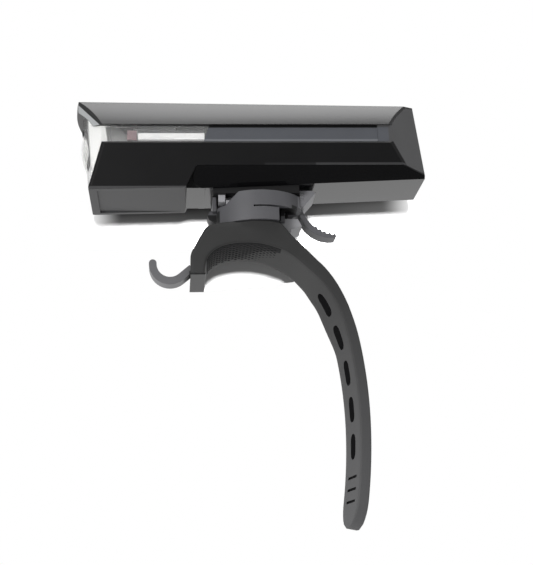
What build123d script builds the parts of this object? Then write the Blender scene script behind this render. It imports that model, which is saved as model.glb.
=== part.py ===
"""Rechargeable front light for a bicycle, on a swivelling quick-release bracket with a rubber strap.

Millimetres. +X is the side with the strap's near edge, -Y is the way the beam goes, +Z is up.
The origin is the middle of the handlebar that the bracket sits on, and the bar runs along X.
"""
from build123d import *
import math
import os

os.makedirs("parts", exist_ok=True)

# Handlebar and rubber saddle
BAR_RADIUS = 15.9            # 31.8 mm bar, the size the seat is moulded for
SADDLE_WIDTH = 22.0
SADDLE_RISE = 6.3            # rubber and base plate between the bar and the turning face
SADDLE_TOP = BAR_RADIUS + SADDLE_RISE
SADDLE_FRONT = -11.2         # front and rear edges of the saddle's top
SADDLE_REAR = 9.3
SADDLE_REAR_LIP = 1.6        # upright step under the rear edge
SADDLE_REAR_SWELL = 0.7      # how far the shoulder swells between that step and the strap
FRONT_ROUND_RUN = 3.6        # rounding of the front edge
FRONT_ROUND_DROP = 2.6
CROWN_CLEARANCE = 0.3        # between the bar and the foot of the saddle's round crown
CROWN_STEP = 0.5             # how much smaller the crown is than the ring on it
TAPER_START = 4.0            # where the saddle starts to narrow to the strap's width
SEAT_END_ANGLE = 55.0        # where the seat leaves the bar towards the strap
SEAT_CROWN_ANGLE = 118.0     # a middle point of the seat
LEG_THICKNESS = 3.5
LEG_BACK = -(BAR_RADIUS + LEG_THICKNESS)
LEG_SHOULDER_DROP = 10.0     # from the saddle's top to where the leg's outer face turns upright
LEG_SEAM = 6.1               # height where the rubber leg ends and the hook's foot begins
LEG_FOOT = 0.7
PAD_THICKNESS = 1.2
PAD_WIDTH = 20.0
PAD_END_ANGLE = 62.0
PAD_START_ANGLE = 155.0

# Strap
STRAP_WIDTH = 18.0
STRAP_THICKNESS = 2.8
STRAP_LEAD = 7.6             # straight run from the seat to the first bend
STRAP_TOP_ARC = 19.0
STRAP_MIDDLE_ARC = 34.0
STRAP_LOW_ARC = 31.0
STRAP_BENDS = [(STRAP_TOP_ARC, -41.0), (STRAP_MIDDLE_ARC, -14.0), (STRAP_LOW_ARC, -11.0)]   # turns in degrees
STRAP_TIP_RADIUS = 6.0
SLOT_COUNT = 5
SLOT_PITCH = 11.5
SLOT_FIRST = 13.2            # from the end of the straight run to the middle of the first slot
SLOT_LENGTH = 7.8
SLOT_WIDTH = 6.0
GROOVE_COUNT = 3
GROOVE_PITCH = 3.4
GROOVE_WIDTH = 1.2
GROOVE_DEPTH = 0.6
GROOVE_FIRST_GAP = 6.5       # from the last slot to the first grip groove

# Strap hook
HOOK_WIDTH = 5.6
HOOK_BAR = 2.4
HOOK_INNER_RADIUS = 4.2
HOOK_REACH = 6.2             # from the leg's face to the middle of the hook's bend
HOOK_CENTRE_Y = LEG_BACK - HOOK_REACH
HOOK_CENTRE_Z = 11.3
HOOK_RISE_ANGLE = 40.0
HOOK_TIP_RISE = 0.3
HOOK_ROOT = 2.0
HOOK_SKIN = 0.8              # rubber over the hook's root
HOOK_BURY = 1.4
FOOT_TOE = 0.7               # how far the foot's toe stands behind the bar's surface
FOOT_CHAMFER = 0.9
FOOT_HIGH, FOOT_LOW = 3.6, 2.2

# Base plate, pivot and turntable
PIVOT_Y = 2.4
BASE_RADIUS = 10.0
BASE_THICKNESS = 2.2
BASE_BOSS_RADIUS = 3.6
BASE_BOSS_HEIGHT = 2.4
TONGUE_WIDTH = 12.0
TONGUE_FRONT = 9.7
TONGUE_REAR = 15.8
TONGUE_RISE = 2.6
TONGUE_SINK = 0.8
TONGUE_TOP = SADDLE_TOP + TONGUE_RISE
TONGUE_DROP = SADDLE_TOP - TONGUE_SINK
PIVOT_SCREW_RADIUS = 1.5
PIVOT_HEAD_RADIUS = 3.0
PIVOT_HEAD_HEIGHT = 1.2
DRIVE_LENGTH = 3.2            # cross recess in the screw's head
DRIVE_WIDTH = 0.6
NUT_RADIUS = 3.0
NUT_THICKNESS = 2.0
WASHER_RADIUS = 5.2
WASHER_THICKNESS = 0.5
TURN_GAP = 0.05              # between faces that turn on each other
HALF_WIDTH = 16.2              # of the light, at the lower edge of its top shell
SIDE_TILT = 1.6
RIDGE_HALF_WIDTH = HALF_WIDTH - SIDE_TILT
RING_SET_IN = 0.1            # from the light's lower side to the ring's
RING_RADIUS = RIDGE_HALF_WIDTH - RING_SET_IN
RING_HEIGHT = 9.5
RING_TOP = SADDLE_TOP + RING_HEIGHT
RING_FRONT = -10.8
RING_REAR = 15.8
RING_SPLIT_HEIGHT = 4.7
RING_SPLIT = SADDLE_TOP + RING_SPLIT_HEIGHT   # the upper ring overhangs below this at the rear
RING_LOWER_REAR = 8.2
RING_CHAMFER_FRONT = -8.3
RING_CHAMFER_RUN = 4.1
RING_FRONT_RISE = 5.9
RING_FRONT_HEIGHT = SADDLE_TOP + RING_FRONT_RISE
SLIT_START = 0.3
SLIT_HEIGHT = 0.6
SLIT_DEPTH = 1.6

# Quick-release rail under the light
RAIL_GAP = 0.15              # free play of the rail in its channel
RAIL_WIDTH = 18.0
RAIL_RISE = 6.3
RAIL_BOTTOM = SADDLE_TOP + RAIL_RISE
RAIL_FLANGE = 1.6
RAIL_NECK_WIDTH = 12.0
RAIL_FRONT = -8.0
RAIL_REAR = 12.9
SHOE_WIDTH = 20.0
SHOE_GAP = 0.3               # between the shoe's plate and the ring
SHOE_BOTTOM = RING_TOP + SHOE_GAP
SHOE_FRONT = -12.1
SHOE_REAR = 15.0
POST_WIDTH = 18.0
POST_FRONT = -10.4
POST_DEPTH = 2.2
POST_RISE = 1.0
POST_BOTTOM = RAIL_BOTTOM + POST_RISE
FRONT_PLATE_DEPTH = 1.1
FRONT_PLATE_WIDTH = 13.0
FRONT_PLATE_DROP = 1.3
FRONT_PLATE_BOTTOM = RAIL_BOTTOM - FRONT_PLATE_DROP
STOP_REAR = 20.6
STOP_RISE = 1.9
STOP_TOP = SHOE_BOTTOM + STOP_RISE
STOP_WIDTH = 13.0
STOP_FOOT_RISE = 0.2
STOP_FOOT = RAIL_BOTTOM + STOP_FOOT_RISE
STOP_GAP = 0.4
STOP_RIB_COUNT = 3
STOP_RIB_PITCH = 0.9
STOP_RIB_HEIGHT = 0.4
STOP_RIB_PROUD = 0.2
LUG_INNER = 7.2              # meets the tongue's side when the bracket is turned 8 degrees
LUG_WIDTH = 1.4
LUG_FRONT = 9.0
LUG_REAR = 10.3
LUG_CLEARANCE = 0.7
LUG_BOTTOM = SADDLE_TOP + LUG_CLEARANCE
NOSE_WIDTH = 6.4
NOSE_FRONT = -13.6
NOSE_THICKNESS = 3.6
NOSE_BOTTOM = RAIL_BOTTOM - NOSE_THICKNESS
NOSE_GAP = 0.8               # round the nose where the front plate passes it

# Release lever
LEVER_WIDTH = 6.0
LEVER_PIN_Y = 9.9
LEVER_PIN_DROP = 2.1
LEVER_PIN_Z = RAIL_BOTTOM - LEVER_PIN_DROP
LEVER_PIN_RADIUS = 0.75
LEVER_PIN_LENGTH = 12.0
LEVER_HUB_RADIUS = 1.3
LEVER_HUB_WIDTH = 3.4
LEVER_ARM_SINK = 0.3           # the arm's underside below the pin's middle
LEVER_ARM_THICKNESS = 1.5
LEVER_ARM_BOTTOM = LEVER_PIN_Z - LEVER_ARM_SINK
LEVER_ARM_TOP = LEVER_ARM_BOTTOM + LEVER_ARM_THICKNESS
LEVER_HEEL_Y = 13.3            # where the arm climbs behind the rail's end
LEVER_HEEL_RISE = 1.3
LEVER_HEEL_TOP = LEVER_ARM_TOP + LEVER_HEEL_RISE
LEVER_CAVITY_GAP = 0.3
LEVER_CAVITY_WIDTH = 7.0
LEVER_CAVITY_FRONT = 7.9
LEVER_ELBOW_Y = 16.3
LEVER_TIP_Y = 27.2
LEVER_TIP_DROP = 6.9
LEVER_TIP_Z = LEVER_PIN_Z - LEVER_TIP_DROP
LEVER_THICKNESS = 1.9
LEVER_SAG = 2.5              # how far the grip curves below a straight line
LEVER_RIB_COUNT = 5
LEVER_RIB_RADIUS = 0.45
TOOTH_DEPTH = 1.4
TOOTH_BITE = 0.5             # how far the tooth stands into the rail's groove
TOOTH_TOP = RAIL_BOTTOM + TOOTH_BITE
TOOTH_Y = 11.6
TOOTH_RAMP = 0.7
TOOTH_WIDTH = 4.0
GROOVE_CLEARANCE = 0.3
FIT_GAP = 0.04               # radial play of a pin in its hole
SPRING_OUTER_RADIUS = 1.35
SPRING_INNER_RADIUS = 0.85
SPRING_LENGTH = 1.5
SPRING_LEG = 0.35

# Light body, outside
LIGHT_GAP = 0.7              # between the turntable and the front block's underside
BLOCK_BOTTOM = RING_TOP + LIGHT_GAP
RIDGE_RISE = 7.3             # from that underside to the widest line of the lower facets
SIDE_RISE = 7.4              # height of the tilted side facets
STRIP_HEIGHT = 4.8
SHADOW_GAP = 0.7             # dark gap over the strips
TOP_RISE = 9.0               # height of the top shell over its lower edge
RIDGE_HEIGHT = BLOCK_BOTTOM + RIDGE_RISE
STRIP_BOTTOM = RIDGE_HEIGHT + SIDE_RISE
STRIP_TOP = STRIP_BOTTOM + STRIP_HEIGHT
SHELL_LIP = STRIP_TOP + SHADOW_GAP
TOP_FRONT_HEIGHT = SHELL_LIP + TOP_RISE
STRIP_INSET = 0.7
TOP_CHAMFER = 4.2            # how much narrower each side is at the top
TOP_HALF_WIDTH = HALF_WIDTH - TOP_CHAMFER
TOP_LEAN = 0.2               # inward lean of the strips' band
TOP_SLOPE = 0.0172
SHOULDER_BULGE = 0.35
HOUSING_BEVEL = 0.5
BLOCK_REAR_RISE = 0.6
BLOCK_REAR_BOTTOM = BLOCK_BOTTOM + BLOCK_REAR_RISE
BLOCK_REAR = -20.6
BLOCK_STEP_TOP = -17.2
COVER_FACET_RUN = 3.0
COVER_EDGE_HALF_WIDTH = RIDGE_HALF_WIDTH - COVER_FACET_RUN
COVER_RISE = 1.8
COVER_BOTTOM_MID = BLOCK_BOTTOM + COVER_RISE
COVER_SLOPE = 0.04
FACET_HEIGHT = 0.9           # lower facet edge above the flat of the bottom
LABEL_RECESS = 0.3
LABEL_WIDTH = 22.4
FRONT_SLOPE = 1.70
FRONT_LEAN = 0.063
LENS_FRONT_Y = -51.9
CHEEK_RUN = 6.2              # from the lens's front to where its cheeks meet the sides
FRONT_STRIP_Y = LENS_FRONT_Y + CHEEK_RUN
LABEL_SET_BACK = 3.9
LABEL_END_GAP = 1.4
LABEL_FRONT = LENS_FRONT_Y + LABEL_SET_BACK
LABEL_REAR = BLOCK_REAR - LABEL_END_GAP
LENS_LEAN = 0.08
VISOR_REACH = 3.0            # how far the top shell stands out over the lens
VISOR_CORNER_REACH = 1.8
VISOR_Y = LENS_FRONT_Y - VISOR_REACH
VISOR_CORNER_Y = LENS_FRONT_Y - VISOR_CORNER_REACH
REAR_SLOPE = 2.15
REAR_LEAN = 0.108
REAR_FACE_Y = 53.2
REAR_CHAMFER_RUN = 10.0
REAR_STRIP_Y = REAR_FACE_Y - REAR_CHAMFER_RUN
REAR_FACE_LEAN = 0.13
REAR_ROUND = 3.0
WALL = 1.8
LENS_WALL = 1.6
LENS_LIP = 0.5                # how much of a shell's wall shows round the lens
SHELL_LIP_WALL = 0.5          # and round the rear cap
CAP_WALL = 2.0
REF_Z = STRIP_BOTTOM + STRIP_HEIGHT / 2      # height at which the leaning end planes are dimensioned
WINDOW_REAR_TOP = -13.3
WINDOW_REAR_BOTTOM = -14.9
BULGE_RADIUS = 7.0
BULGE_HEIGHT = 1.7
BULGE_DROP = 0.2
BULGE_Z = REF_Z - BULGE_DROP

# Inside the light
OPTIC_RISE = 0.4
OPTIC_Z = STRIP_BOTTOM + OPTIC_RISE
REFLECTOR_RADIUS = 10.0
REFLECTOR_WALL = 0.9
REFLECTOR_DEPTH = 13.0
REFLECTOR_THROAT = 3.2
FLANGE_GAP = 0.3
LED_BOARD_RADIUS = 9.0
LED_BOARD_THICKNESS = 1.6
EMITTER_SIZE = 3.6
EMITTER_HEIGHT = 0.9
SINK_DROP = 8.5              # the sink's lower end below the beam's axis
SINK_BOARD_GAP = 0.6
SINK_WIDTH = 20.0
SINK_PLATE = 2.5
SINK_FIN_COUNT = 6
SINK_FIN = 1.2
SINK_LENGTH = 12.0
CELL_RADIUS = 9.15
CRADLE_GAP = 0.05
CRADLE_HALF = 9.5
CRADLE_DROP = 5.0            # the cradle's top below the cell's axis
CRADLE_SHORT = 4.0           # how much shorter than the cell it is at each end
CRADLE_SADDLE = 5.0
CRADLE_RIM = 0.5
SPACER_RADIUS = 1.8
SPACER_INSET = 2.5
SPACER_REAR_INSET = 4.0
CELL_LENGTH = 50.0
CELL_REAR_GAP = 4.0
CELL_BOARD_GAP = 0.45
CELL_CAP = 1.2                # the contact that stands out of the cell's front
CELL_CAP_RADIUS = 3.2
BOARD_WIDTH = 19.0
BOARD_THICKNESS = 1.0
BOARD_DROP = 5.0             # from the top face at the front to the board's underside
BOARD_BOTTOM = TOP_FRONT_HEIGHT - BOARD_DROP
BOARD_FRONT = -30.0
CELL_Z = BOARD_BOTTOM - CELL_BOARD_GAP - CELL_RADIUS
SWITCH_SIZE = 4.5
SWITCH_HEIGHT = 1.2
PLUNGER_RADIUS = 1.0
PLUNGER_HEIGHT = 0.3
BUTTON_Y = -18.0
BUTTON_LENGTH = 13.0
BUTTON_WIDTH = 8.0
BUTTON_PROUD = 0.35
BUTTON_TRAVEL = 0.6
BUTTON_PLAY = 0.15
INDICATOR_GAP = 10.5         # from the button's middle to the indicator's
INDICATOR_Y = BUTTON_Y + INDICATOR_GAP
INDICATOR_RADIUS = 1.6
STATUS_LED_SIZE = 1.6
STATUS_LED_HEIGHT = 0.7
GUIDE_SET_BACK = 16.7        # from the lens's front to the light guides
GUIDE_LENGTH = 20.6
GUIDE_FRONT = LENS_FRONT_Y + GUIDE_SET_BACK
GUIDE_RISE = 1.1
GUIDE_HEIGHT = 3.0
GUIDE_BOTTOM = STRIP_BOTTOM + GUIDE_RISE
GUIDE_DEPTH = 1.4
GUIDE_GAP = 0.1              # behind the lens
SIDE_LED_GAP = 0.4
SIDE_LED_LENGTH = 3.0
SIDE_LED_Y = GUIDE_FRONT - SIDE_LED_GAP - SIDE_LED_LENGTH
PORT_BOARD_SET = 11.2        # from the rear face to the port's board
PORT_BOARD_Y = REAR_FACE_Y - PORT_BOARD_SET
BOARD_REAR = PORT_BOARD_Y + BOARD_THICKNESS
CELL_FRONT = PORT_BOARD_Y - CELL_REAR_GAP - CELL_LENGTH
PORT_BOARD_WIDTH = 16.0
PORT_RISE = 0.5
PORT_Z = STRIP_BOTTOM + PORT_RISE
PORT_BOARD_HANG = 6.0
PORT_BOARD_LOW = PORT_Z - PORT_BOARD_HANG
PORT_WIDTH = 8.0
PORT_HEIGHT = 3.0
PORT_WALL = 0.4
PORT_BLADE = 0.7
PORT_LENGTH = 7.2
PORT_OPENING_WIDTH = 11.0
PORT_OPENING_HEIGHT = 6.0
PORT_PLUG_GAP = 0.4
FLAP_WIDTH = 15.0
FLAP_RISE = 5.0
FLAP_DROP = 4.7
FLAP_TOP = PORT_Z + FLAP_RISE
FLAP_AXIS_Z = PORT_Z - FLAP_DROP
FLAP_THICKNESS = 1.3
FLAP_RECESS = 1.1            # how deep the flap lies in the cap
FLAP_GAP = 0.25
FLAP_BARREL_WIDTH = 9.6
FLAP_PIN_RADIUS = 0.35
FLAP_PIN_LENGTH = 13.0
FLAP_PLUG_DEPTH = 1.2
SCREW_RADIUS = 1.0
SCREW_HEAD_RADIUS = 1.7
SCREW_HEAD_HEIGHT = 1.1
SHOE_SCREW_SPAN = 15.0
SHOE_SCREW_X = 4.2
SCREW_SINK = 0.1              # the heads lie this much inside the rail
SHOE_SCREW_REACH = 3.0       # above the outside of the cover's bottom
SCREW_BOSS_HEIGHT = 3.5
CAP_SCREW_X = 8.0
CAP_SCREW_DROP = 5.6
CAP_SCREW_Z = TOP_FRONT_HEIGHT - CAP_SCREW_DROP
CAP_BOSS_HALF = 2.2
CAP_BOSS_LENGTH = 6.0
CAP_SCREW_LENGTH = 6.5

FAR = 200.0

parts = {}


def prism_x(face_points, width, centre=0.0):
    """Solid between two planes of constant X, from (y, z) points."""
    wire = Polyline(*[(y, z) for y, z in face_points], close=True)
    face = Plane.YZ * make_face(wire)
    return Pos(centre - width / 2, 0, 0) * extrude(face, width, dir=(1, 0, 0))


def prism_y(face_points, y0, y1):
    """Solid between two planes of constant Y, from (x, z) points."""
    wire = Polyline(*[(x, 0, z) for x, z in face_points], close=True)
    return Pos(0, y0, 0) * extrude(make_face(wire), y1 - y0, dir=(0, 1, 0))


def block(x, y, z):
    """Box from three (low, high) pairs."""
    size = [b - a for a, b in (x, y, z)]
    middle = [(a + b) / 2 for a, b in (x, y, z)]
    return Pos(*middle) * Box(*size)


def rod(radius, start, end):
    """Cylinder from one point to another."""
    start, end = Vector(*start), Vector(*end)
    along = end - start
    return extrude(Plane(start, z_dir=along) * Circle(radius), along.length)


def keep_below(solid, point, normal):
    """What lies behind the plane through point that faces along normal."""
    return split(solid, bisect_by=Plane(point, z_dir=normal), keep=Keep.BOTTOM)


def save(name, shape):
    """Keep a part under its node's name."""
    parts[name] = shape


# Light body

def top_height(y):
    """Height of the top face at y."""
    return TOP_FRONT_HEIGHT - TOP_SLOPE * (y - VISOR_CORNER_Y)


def cover_bottom(y):
    """Height of the flat underside of the rear cover at y."""
    return COVER_BOTTOM_MID + COVER_SLOPE * y


def top_section(inset):
    """Cross-section of the top shell, its shoulders bulging a little."""
    low, high = HALF_WIDTH - TOP_LEAN, TOP_HALF_WIDTH
    bend_x = (low + high) / 2 + SHOULDER_BULGE
    bend_z = (SHELL_LIP + TOP_FRONT_HEIGHT) / 2 + SHOULDER_BULGE / 2
    outline = [
        Line((-low, 0, SHELL_LIP), (low, 0, SHELL_LIP)),
        ThreePointArc((low, 0, SHELL_LIP), (bend_x, 0, bend_z), (high, 0, TOP_FRONT_HEIGHT)),
        Line((high, 0, TOP_FRONT_HEIGHT), (-high, 0, TOP_FRONT_HEIGHT)),
        ThreePointArc((-high, 0, TOP_FRONT_HEIGHT), (-bend_x, 0, bend_z), (-low, 0, SHELL_LIP)),
    ]
    face = make_face(Wire(outline))
    solid = Pos(0, -FAR / 2, 0) * extrude(face, FAR, dir=(0, 1, 0))
    if inset:
        low_in, high_in = low - inset, high - inset
        top_in = TOP_FRONT_HEIGHT - inset
        outline = [
            Line((-low_in, 0, SHELL_LIP), (low_in, 0, SHELL_LIP)),
            ThreePointArc((low_in, 0, SHELL_LIP), (bend_x - inset, 0, bend_z - inset / 3),
                          (high_in, 0, top_in)),
            Line((high_in, 0, top_in), (-high_in, 0, top_in)),
            ThreePointArc((-high_in, 0, top_in), (inset - bend_x, 0, bend_z - inset / 3),
                          (-low_in, 0, SHELL_LIP)),
        ]
        solid = Pos(0, -FAR / 2, 0) * extrude(make_face(Wire(outline)), FAR, dir=(0, 1, 0))
    return keep_below(solid, (0, VISOR_CORNER_Y, TOP_FRONT_HEIGHT - inset), (0, TOP_SLOPE, 1))


def cut_front(solid, inset=0.0):
    """Cut the two slanting planes of the front end, moved inwards by inset."""
    for side in (1, -1):
        normal = (side, -1 / FRONT_SLOPE, FRONT_LEAN / FRONT_SLOPE * -1)
        length = Vector(*normal).length
        point = (side * (HALF_WIDTH - inset * length), FRONT_STRIP_Y, REF_Z)
        solid = keep_below(solid, point, normal)
    return solid


def cut_lens_front(solid, inset=0.0):
    """Cut the flat middle of the front end."""
    return keep_below(solid, (0, LENS_FRONT_Y + inset, REF_Z), (0, -1, -LENS_LEAN))


def cut_rear(solid, inset=0.0):
    """Cut the two chamfers and the leaning rear face, moved inwards by inset."""
    for side in (1, -1):
        normal = (side, 1 / REAR_SLOPE, REAR_LEAN / REAR_SLOPE)
        length = Vector(*normal).length
        point = (side * (HALF_WIDTH - inset * length), REAR_STRIP_Y, REF_Z)
        solid = keep_below(solid, point, normal)
    return keep_below(solid, (0, REAR_FACE_Y - inset, REF_Z), (0, 1, REAR_FACE_LEAN))


def side_half_width(z):
    """Half width of the tilted side facet at height z."""
    share = (STRIP_BOTTOM - z) / (STRIP_BOTTOM - RIDGE_HEIGHT)
    return HALF_WIDTH - share * (HALF_WIDTH - RIDGE_HALF_WIDTH)


def housing_section(inset, bottom, bevel=0.0):
    """Tilted side walls from the strip down to a given height."""
    high, low = HALF_WIDTH - inset, side_half_width(bottom) - inset
    if not bevel:
        return [(-high, STRIP_BOTTOM), (high, STRIP_BOTTOM), (low, bottom), (-low, bottom)]
    return [(-high + bevel, STRIP_BOTTOM), (high - bevel, STRIP_BOTTOM), (high, STRIP_BOTTOM - bevel * 1.2),
            (low, bottom), (-low, bottom), (-high, STRIP_BOTTOM - bevel * 1.2)]


def strip_band(inset):
    """Solid of the body's full width at the height of the side strips."""
    low, high = HALF_WIDTH - inset, HALF_WIDTH - TOP_LEAN - inset
    points = [(-low, STRIP_BOTTOM), (low, STRIP_BOTTOM), (high, SHELL_LIP), (-high, SHELL_LIP)]
    return prism_y(points, -FAR / 2, FAR / 2)


def rear_plate():
    """The rear cap's outside: a bent plate let into the shells, down to the cover's lower facet."""
    zone = top_section(SHELL_LIP_WALL) + strip_band(SHELL_LIP_WALL)
    zone = zone + prism_y(housing_section(SHELL_LIP_WALL, RIDGE_HEIGHT), -FAR / 2, FAR / 2)
    zone = zone + sheared_cover(SHELL_LIP_WALL, 0, REAR_FACE_Y + 6)
    zone = zone & block((-FAR, FAR), (0, FAR), (0, FAR))
    whole = cut_rear(zone)
    whole = keep_below(whole, (0, 0, COVER_BOTTOM_MID + FACET_HEIGHT), (0, COVER_SLOPE, -1))
    return whole - cut_rear(block((-FAR, FAR), (-1, FAR), (0, FAR)), CAP_WALL)


def cover_section(inset):
    """Rear cover's section at y = 0: ridge, facet, rounded edge and flat bottom."""
    edge = COVER_EDGE_HALF_WIDTH
    flat = cover_bottom(0)
    return [
        (RIDGE_HALF_WIDTH - inset, RIDGE_HEIGHT),
        (edge - inset * 0.8, flat + FACET_HEIGHT + inset * 0.6),
        (edge - FACET_HEIGHT * 1.3 - inset * 0.5, flat + inset),
        (-edge + FACET_HEIGHT * 1.3 + inset * 0.5, flat + inset),
        (-edge + inset * 0.8, flat + FACET_HEIGHT + inset * 0.6),
        (-RIDGE_HALF_WIDTH + inset, RIDGE_HEIGHT),
    ]


def sheared_cover(inset, y0, y1):
    """Rear cover's solid between two stations, its bottom rising towards the rear."""
    sections = []
    for y in (y0, y1):
        rise = cover_bottom(y) - cover_bottom(0)
        pts = [(x, z if z == RIDGE_HEIGHT else z + rise) for x, z in cover_section(inset)]
        sections.append(make_face(Polyline(*[(x, y, z) for x, z in pts], close=True)))
    return loft(sections, ruled=True)


def visor_outline():
    """Plan of the top shell's bowed front edge, as a tall solid in front of the body's middle."""
    reach, corner = VISOR_Y, VISOR_CORNER_Y
    wide = TOP_HALF_WIDTH + 0.4
    outline = Wire([
        Line((-FAR, 0, 0), (FAR, 0, 0)),
        Line((FAR, 0, 0), (FAR, corner, 0)),
        Line((FAR, corner, 0), (wide, corner, 0)),
        ThreePointArc((wide, corner, 0), (0, reach, 0), (-wide, corner, 0)),
        Line((-wide, corner, 0), (-FAR, corner, 0)),
        Line((-FAR, corner, 0), (-FAR, 0, 0)),
    ])
    return extrude(make_face(outline), FAR)


def make_top_shell():
    outer = cut_rear(cut_front(top_section(0)))
    front = outer & visor_outline()
    rear = outer & block((-FAR, FAR), (0, FAR), (0, FAR))
    shell = front + rear - top_section(WALL) - rear_plate()
    for x in (-CAP_SCREW_X, CAP_SCREW_X):
        end = rear_face(CAP_SCREW_Z) - CAP_WALL
        boss = block((x - CAP_BOSS_HALF, x + CAP_BOSS_HALF), (end - CAP_BOSS_LENGTH, end),
                     (CAP_SCREW_Z - CAP_BOSS_HALF, TOP_FRONT_HEIGHT))
        boss = keep_below(boss, (0, VISOR_CORNER_Y, TOP_FRONT_HEIGHT - WALL / 2), (0, TOP_SLOPE, 1))
        shell = shell + cut_rear(boss, CAP_WALL)
        shell = shell - rod(SCREW_RADIUS + FIT_GAP, (x, 0, CAP_SCREW_Z), (x, FAR, CAP_SCREW_Z))
    shell = shell - button_outline(BUTTON_PLAY)
    return shell - rod(INDICATOR_RADIUS, (0, INDICATOR_Y, SHELL_LIP), (0, INDICATOR_Y, FAR))


def button_outline(play):
    """Tall rounded bar in the shape of the power button."""
    face = RectangleRounded(BUTTON_WIDTH + 2 * play, BUTTON_LENGTH + 2 * play, BUTTON_WIDTH / 2 - 0.1)
    return Pos(0, BUTTON_Y, BOARD_BOTTOM + BOARD_THICKNESS) * extrude(face, FAR)


def shell_inside_top(y):
    """Height of the top shell's inner face at y."""
    return top_height(y) - WALL


def make_main_housing():
    walls = prism_y(housing_section(0, BLOCK_BOTTOM - 2, HOUSING_BEVEL), -FAR / 2, FAR / 2)
    outer = cut_lens_front(cut_rear(cut_front(walls)))
    side = prism_x([
        (-FAR, STRIP_BOTTOM), (FAR, STRIP_BOTTOM), (FAR, RIDGE_HEIGHT), (BLOCK_STEP_TOP, RIDGE_HEIGHT),
        (BLOCK_REAR, BLOCK_REAR_BOTTOM), (LENS_FRONT_Y, BLOCK_BOTTOM), (-FAR, BLOCK_BOTTOM),
    ], FAR)
    inner = prism_y(housing_section(WALL, BLOCK_BOTTOM - 2), -FAR / 2, FAR / 2)
    inner_side = prism_x([
        (-FAR, STRIP_BOTTOM), (FAR, STRIP_BOTTOM), (FAR, 0), (BLOCK_STEP_TOP + WALL, 0),
        (BLOCK_STEP_TOP + WALL, RIDGE_HEIGHT + WALL), (BLOCK_STEP_TOP - 2 * WALL, RIDGE_HEIGHT + WALL),
        (BLOCK_REAR - WALL, BLOCK_REAR_BOTTOM + WALL), (LENS_FRONT_Y, BLOCK_BOTTOM + WALL),
        (-FAR, BLOCK_BOTTOM + WALL),
    ], FAR)
    housing = (outer & side) - (inner & inner_side) - lens_plate() - rear_plate()
    recess = block((-LABEL_WIDTH / 2, LABEL_WIDTH / 2), (LABEL_FRONT, LABEL_REAR),
                   (0, BLOCK_BOTTOM + LABEL_RECESS + 0.3))
    return housing - recess


def make_lower_cover():
    start, end = BLOCK_STEP_TOP - 6, REAR_FACE_Y + 6
    outer = sheared_cover(0, start, end)
    front = prism_x([(BLOCK_STEP_TOP + 0.05, RIDGE_HEIGHT), (BLOCK_REAR + 0.05, BLOCK_REAR_BOTTOM),
                     (BLOCK_REAR + 0.05, 0), (FAR, 0), (FAR, RIDGE_HEIGHT)], FAR)
    outer = cut_rear(outer & front)
    bottom_rear = outer.edges().group_by(Axis.Z)[0].sort_by(Axis.Y)[-1]
    outer = fillet(bottom_rear, REAR_ROUND)
    inner = sheared_cover(WALL, BLOCK_STEP_TOP + WALL, end)
    inner = cut_rear(inner, CAP_WALL)
    cover = outer - inner - rear_plate()
    for x, y in shoe_screw_places():
        cover = cover + rod(SCREW_RADIUS + 1.2, (x, y, cover_bottom(y) + 0.5),
                            (x, y, cover_bottom(y) + SCREW_BOSS_HEIGHT))
        blind_end = cover_bottom(y) + SHOE_SCREW_REACH + 0.2
        cover = cover - rod(SCREW_RADIUS + FIT_GAP, (x, y, 0), (x, y, blind_end))
    return cover


def shoe_screw_places():
    """Middle points of the four screws that hold the shoe."""
    middle = (RAIL_FRONT + RAIL_REAR) / 2
    spots = [middle - SHOE_SCREW_SPAN / 2, middle + SHOE_SCREW_SPAN / 2]
    return [(x, y) for x in (-SHOE_SCREW_X, SHOE_SCREW_X) for y in spots]


def flap_axis_y():
    """Y of the flap's hinge line: the middle of the flap's thickness."""
    return rear_face(FLAP_AXIS_Z) - FLAP_RECESS + FLAP_THICKNESS / 2


def flap_zone(play, depth):
    """The flap's outline on the rear face, from a given depth outwards."""
    wide, barrel = FLAP_WIDTH / 2 + play, FLAP_BARREL_WIDTH / 2 + play
    shoulder = FLAP_AXIS_Z + FLAP_THICKNESS - play
    zone = block((-wide, wide), (PORT_BOARD_Y, FAR), (shoulder, FLAP_TOP + play))
    low = FLAP_AXIS_Z - FLAP_THICKNESS / 2 - 2 * play
    zone = zone + block((-barrel, barrel), (PORT_BOARD_Y, FAR), (low, shoulder))
    inside = keep_below(block((-FAR, FAR), (0, FAR), (0, FAR)), (0, REAR_FACE_Y - depth, REF_Z),
                        (0, 1, REAR_FACE_LEAN))
    return zone - inside


def make_rear_cap():
    cap = rear_plate() - flap_zone(FLAP_GAP, FLAP_RECESS + 0.02)
    port = block((-PORT_OPENING_WIDTH / 2, PORT_OPENING_WIDTH / 2), (PORT_BOARD_Y, FAR),
                 (PORT_Z - PORT_OPENING_HEIGHT / 2, PORT_Z + PORT_OPENING_HEIGHT / 2))
    cap = cap - port - make_flap_pin()
    for x in (-CAP_SCREW_X, CAP_SCREW_X):
        cap = cap - rod(SCREW_RADIUS + FIT_GAP, (x, PORT_BOARD_Y, CAP_SCREW_Z), (x, FAR, CAP_SCREW_Z))
        cap = cap - rod(SCREW_HEAD_RADIUS + 0.1, (x, rear_face(CAP_SCREW_Z) - SCREW_HEAD_HEIGHT, CAP_SCREW_Z),
                        (x, FAR, CAP_SCREW_Z))
    return cap


def make_flap_pin(play=0.0):
    half, y = FLAP_PIN_LENGTH / 2, flap_axis_y()
    return rod(FLAP_PIN_RADIUS + play, (-half, y, FLAP_AXIS_Z), (half, y, FLAP_AXIS_Z))


def rear_face(z):
    """Y of the rear face's outside at height z."""
    return REAR_FACE_Y - REAR_FACE_LEAN * (z - REF_Z)


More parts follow.
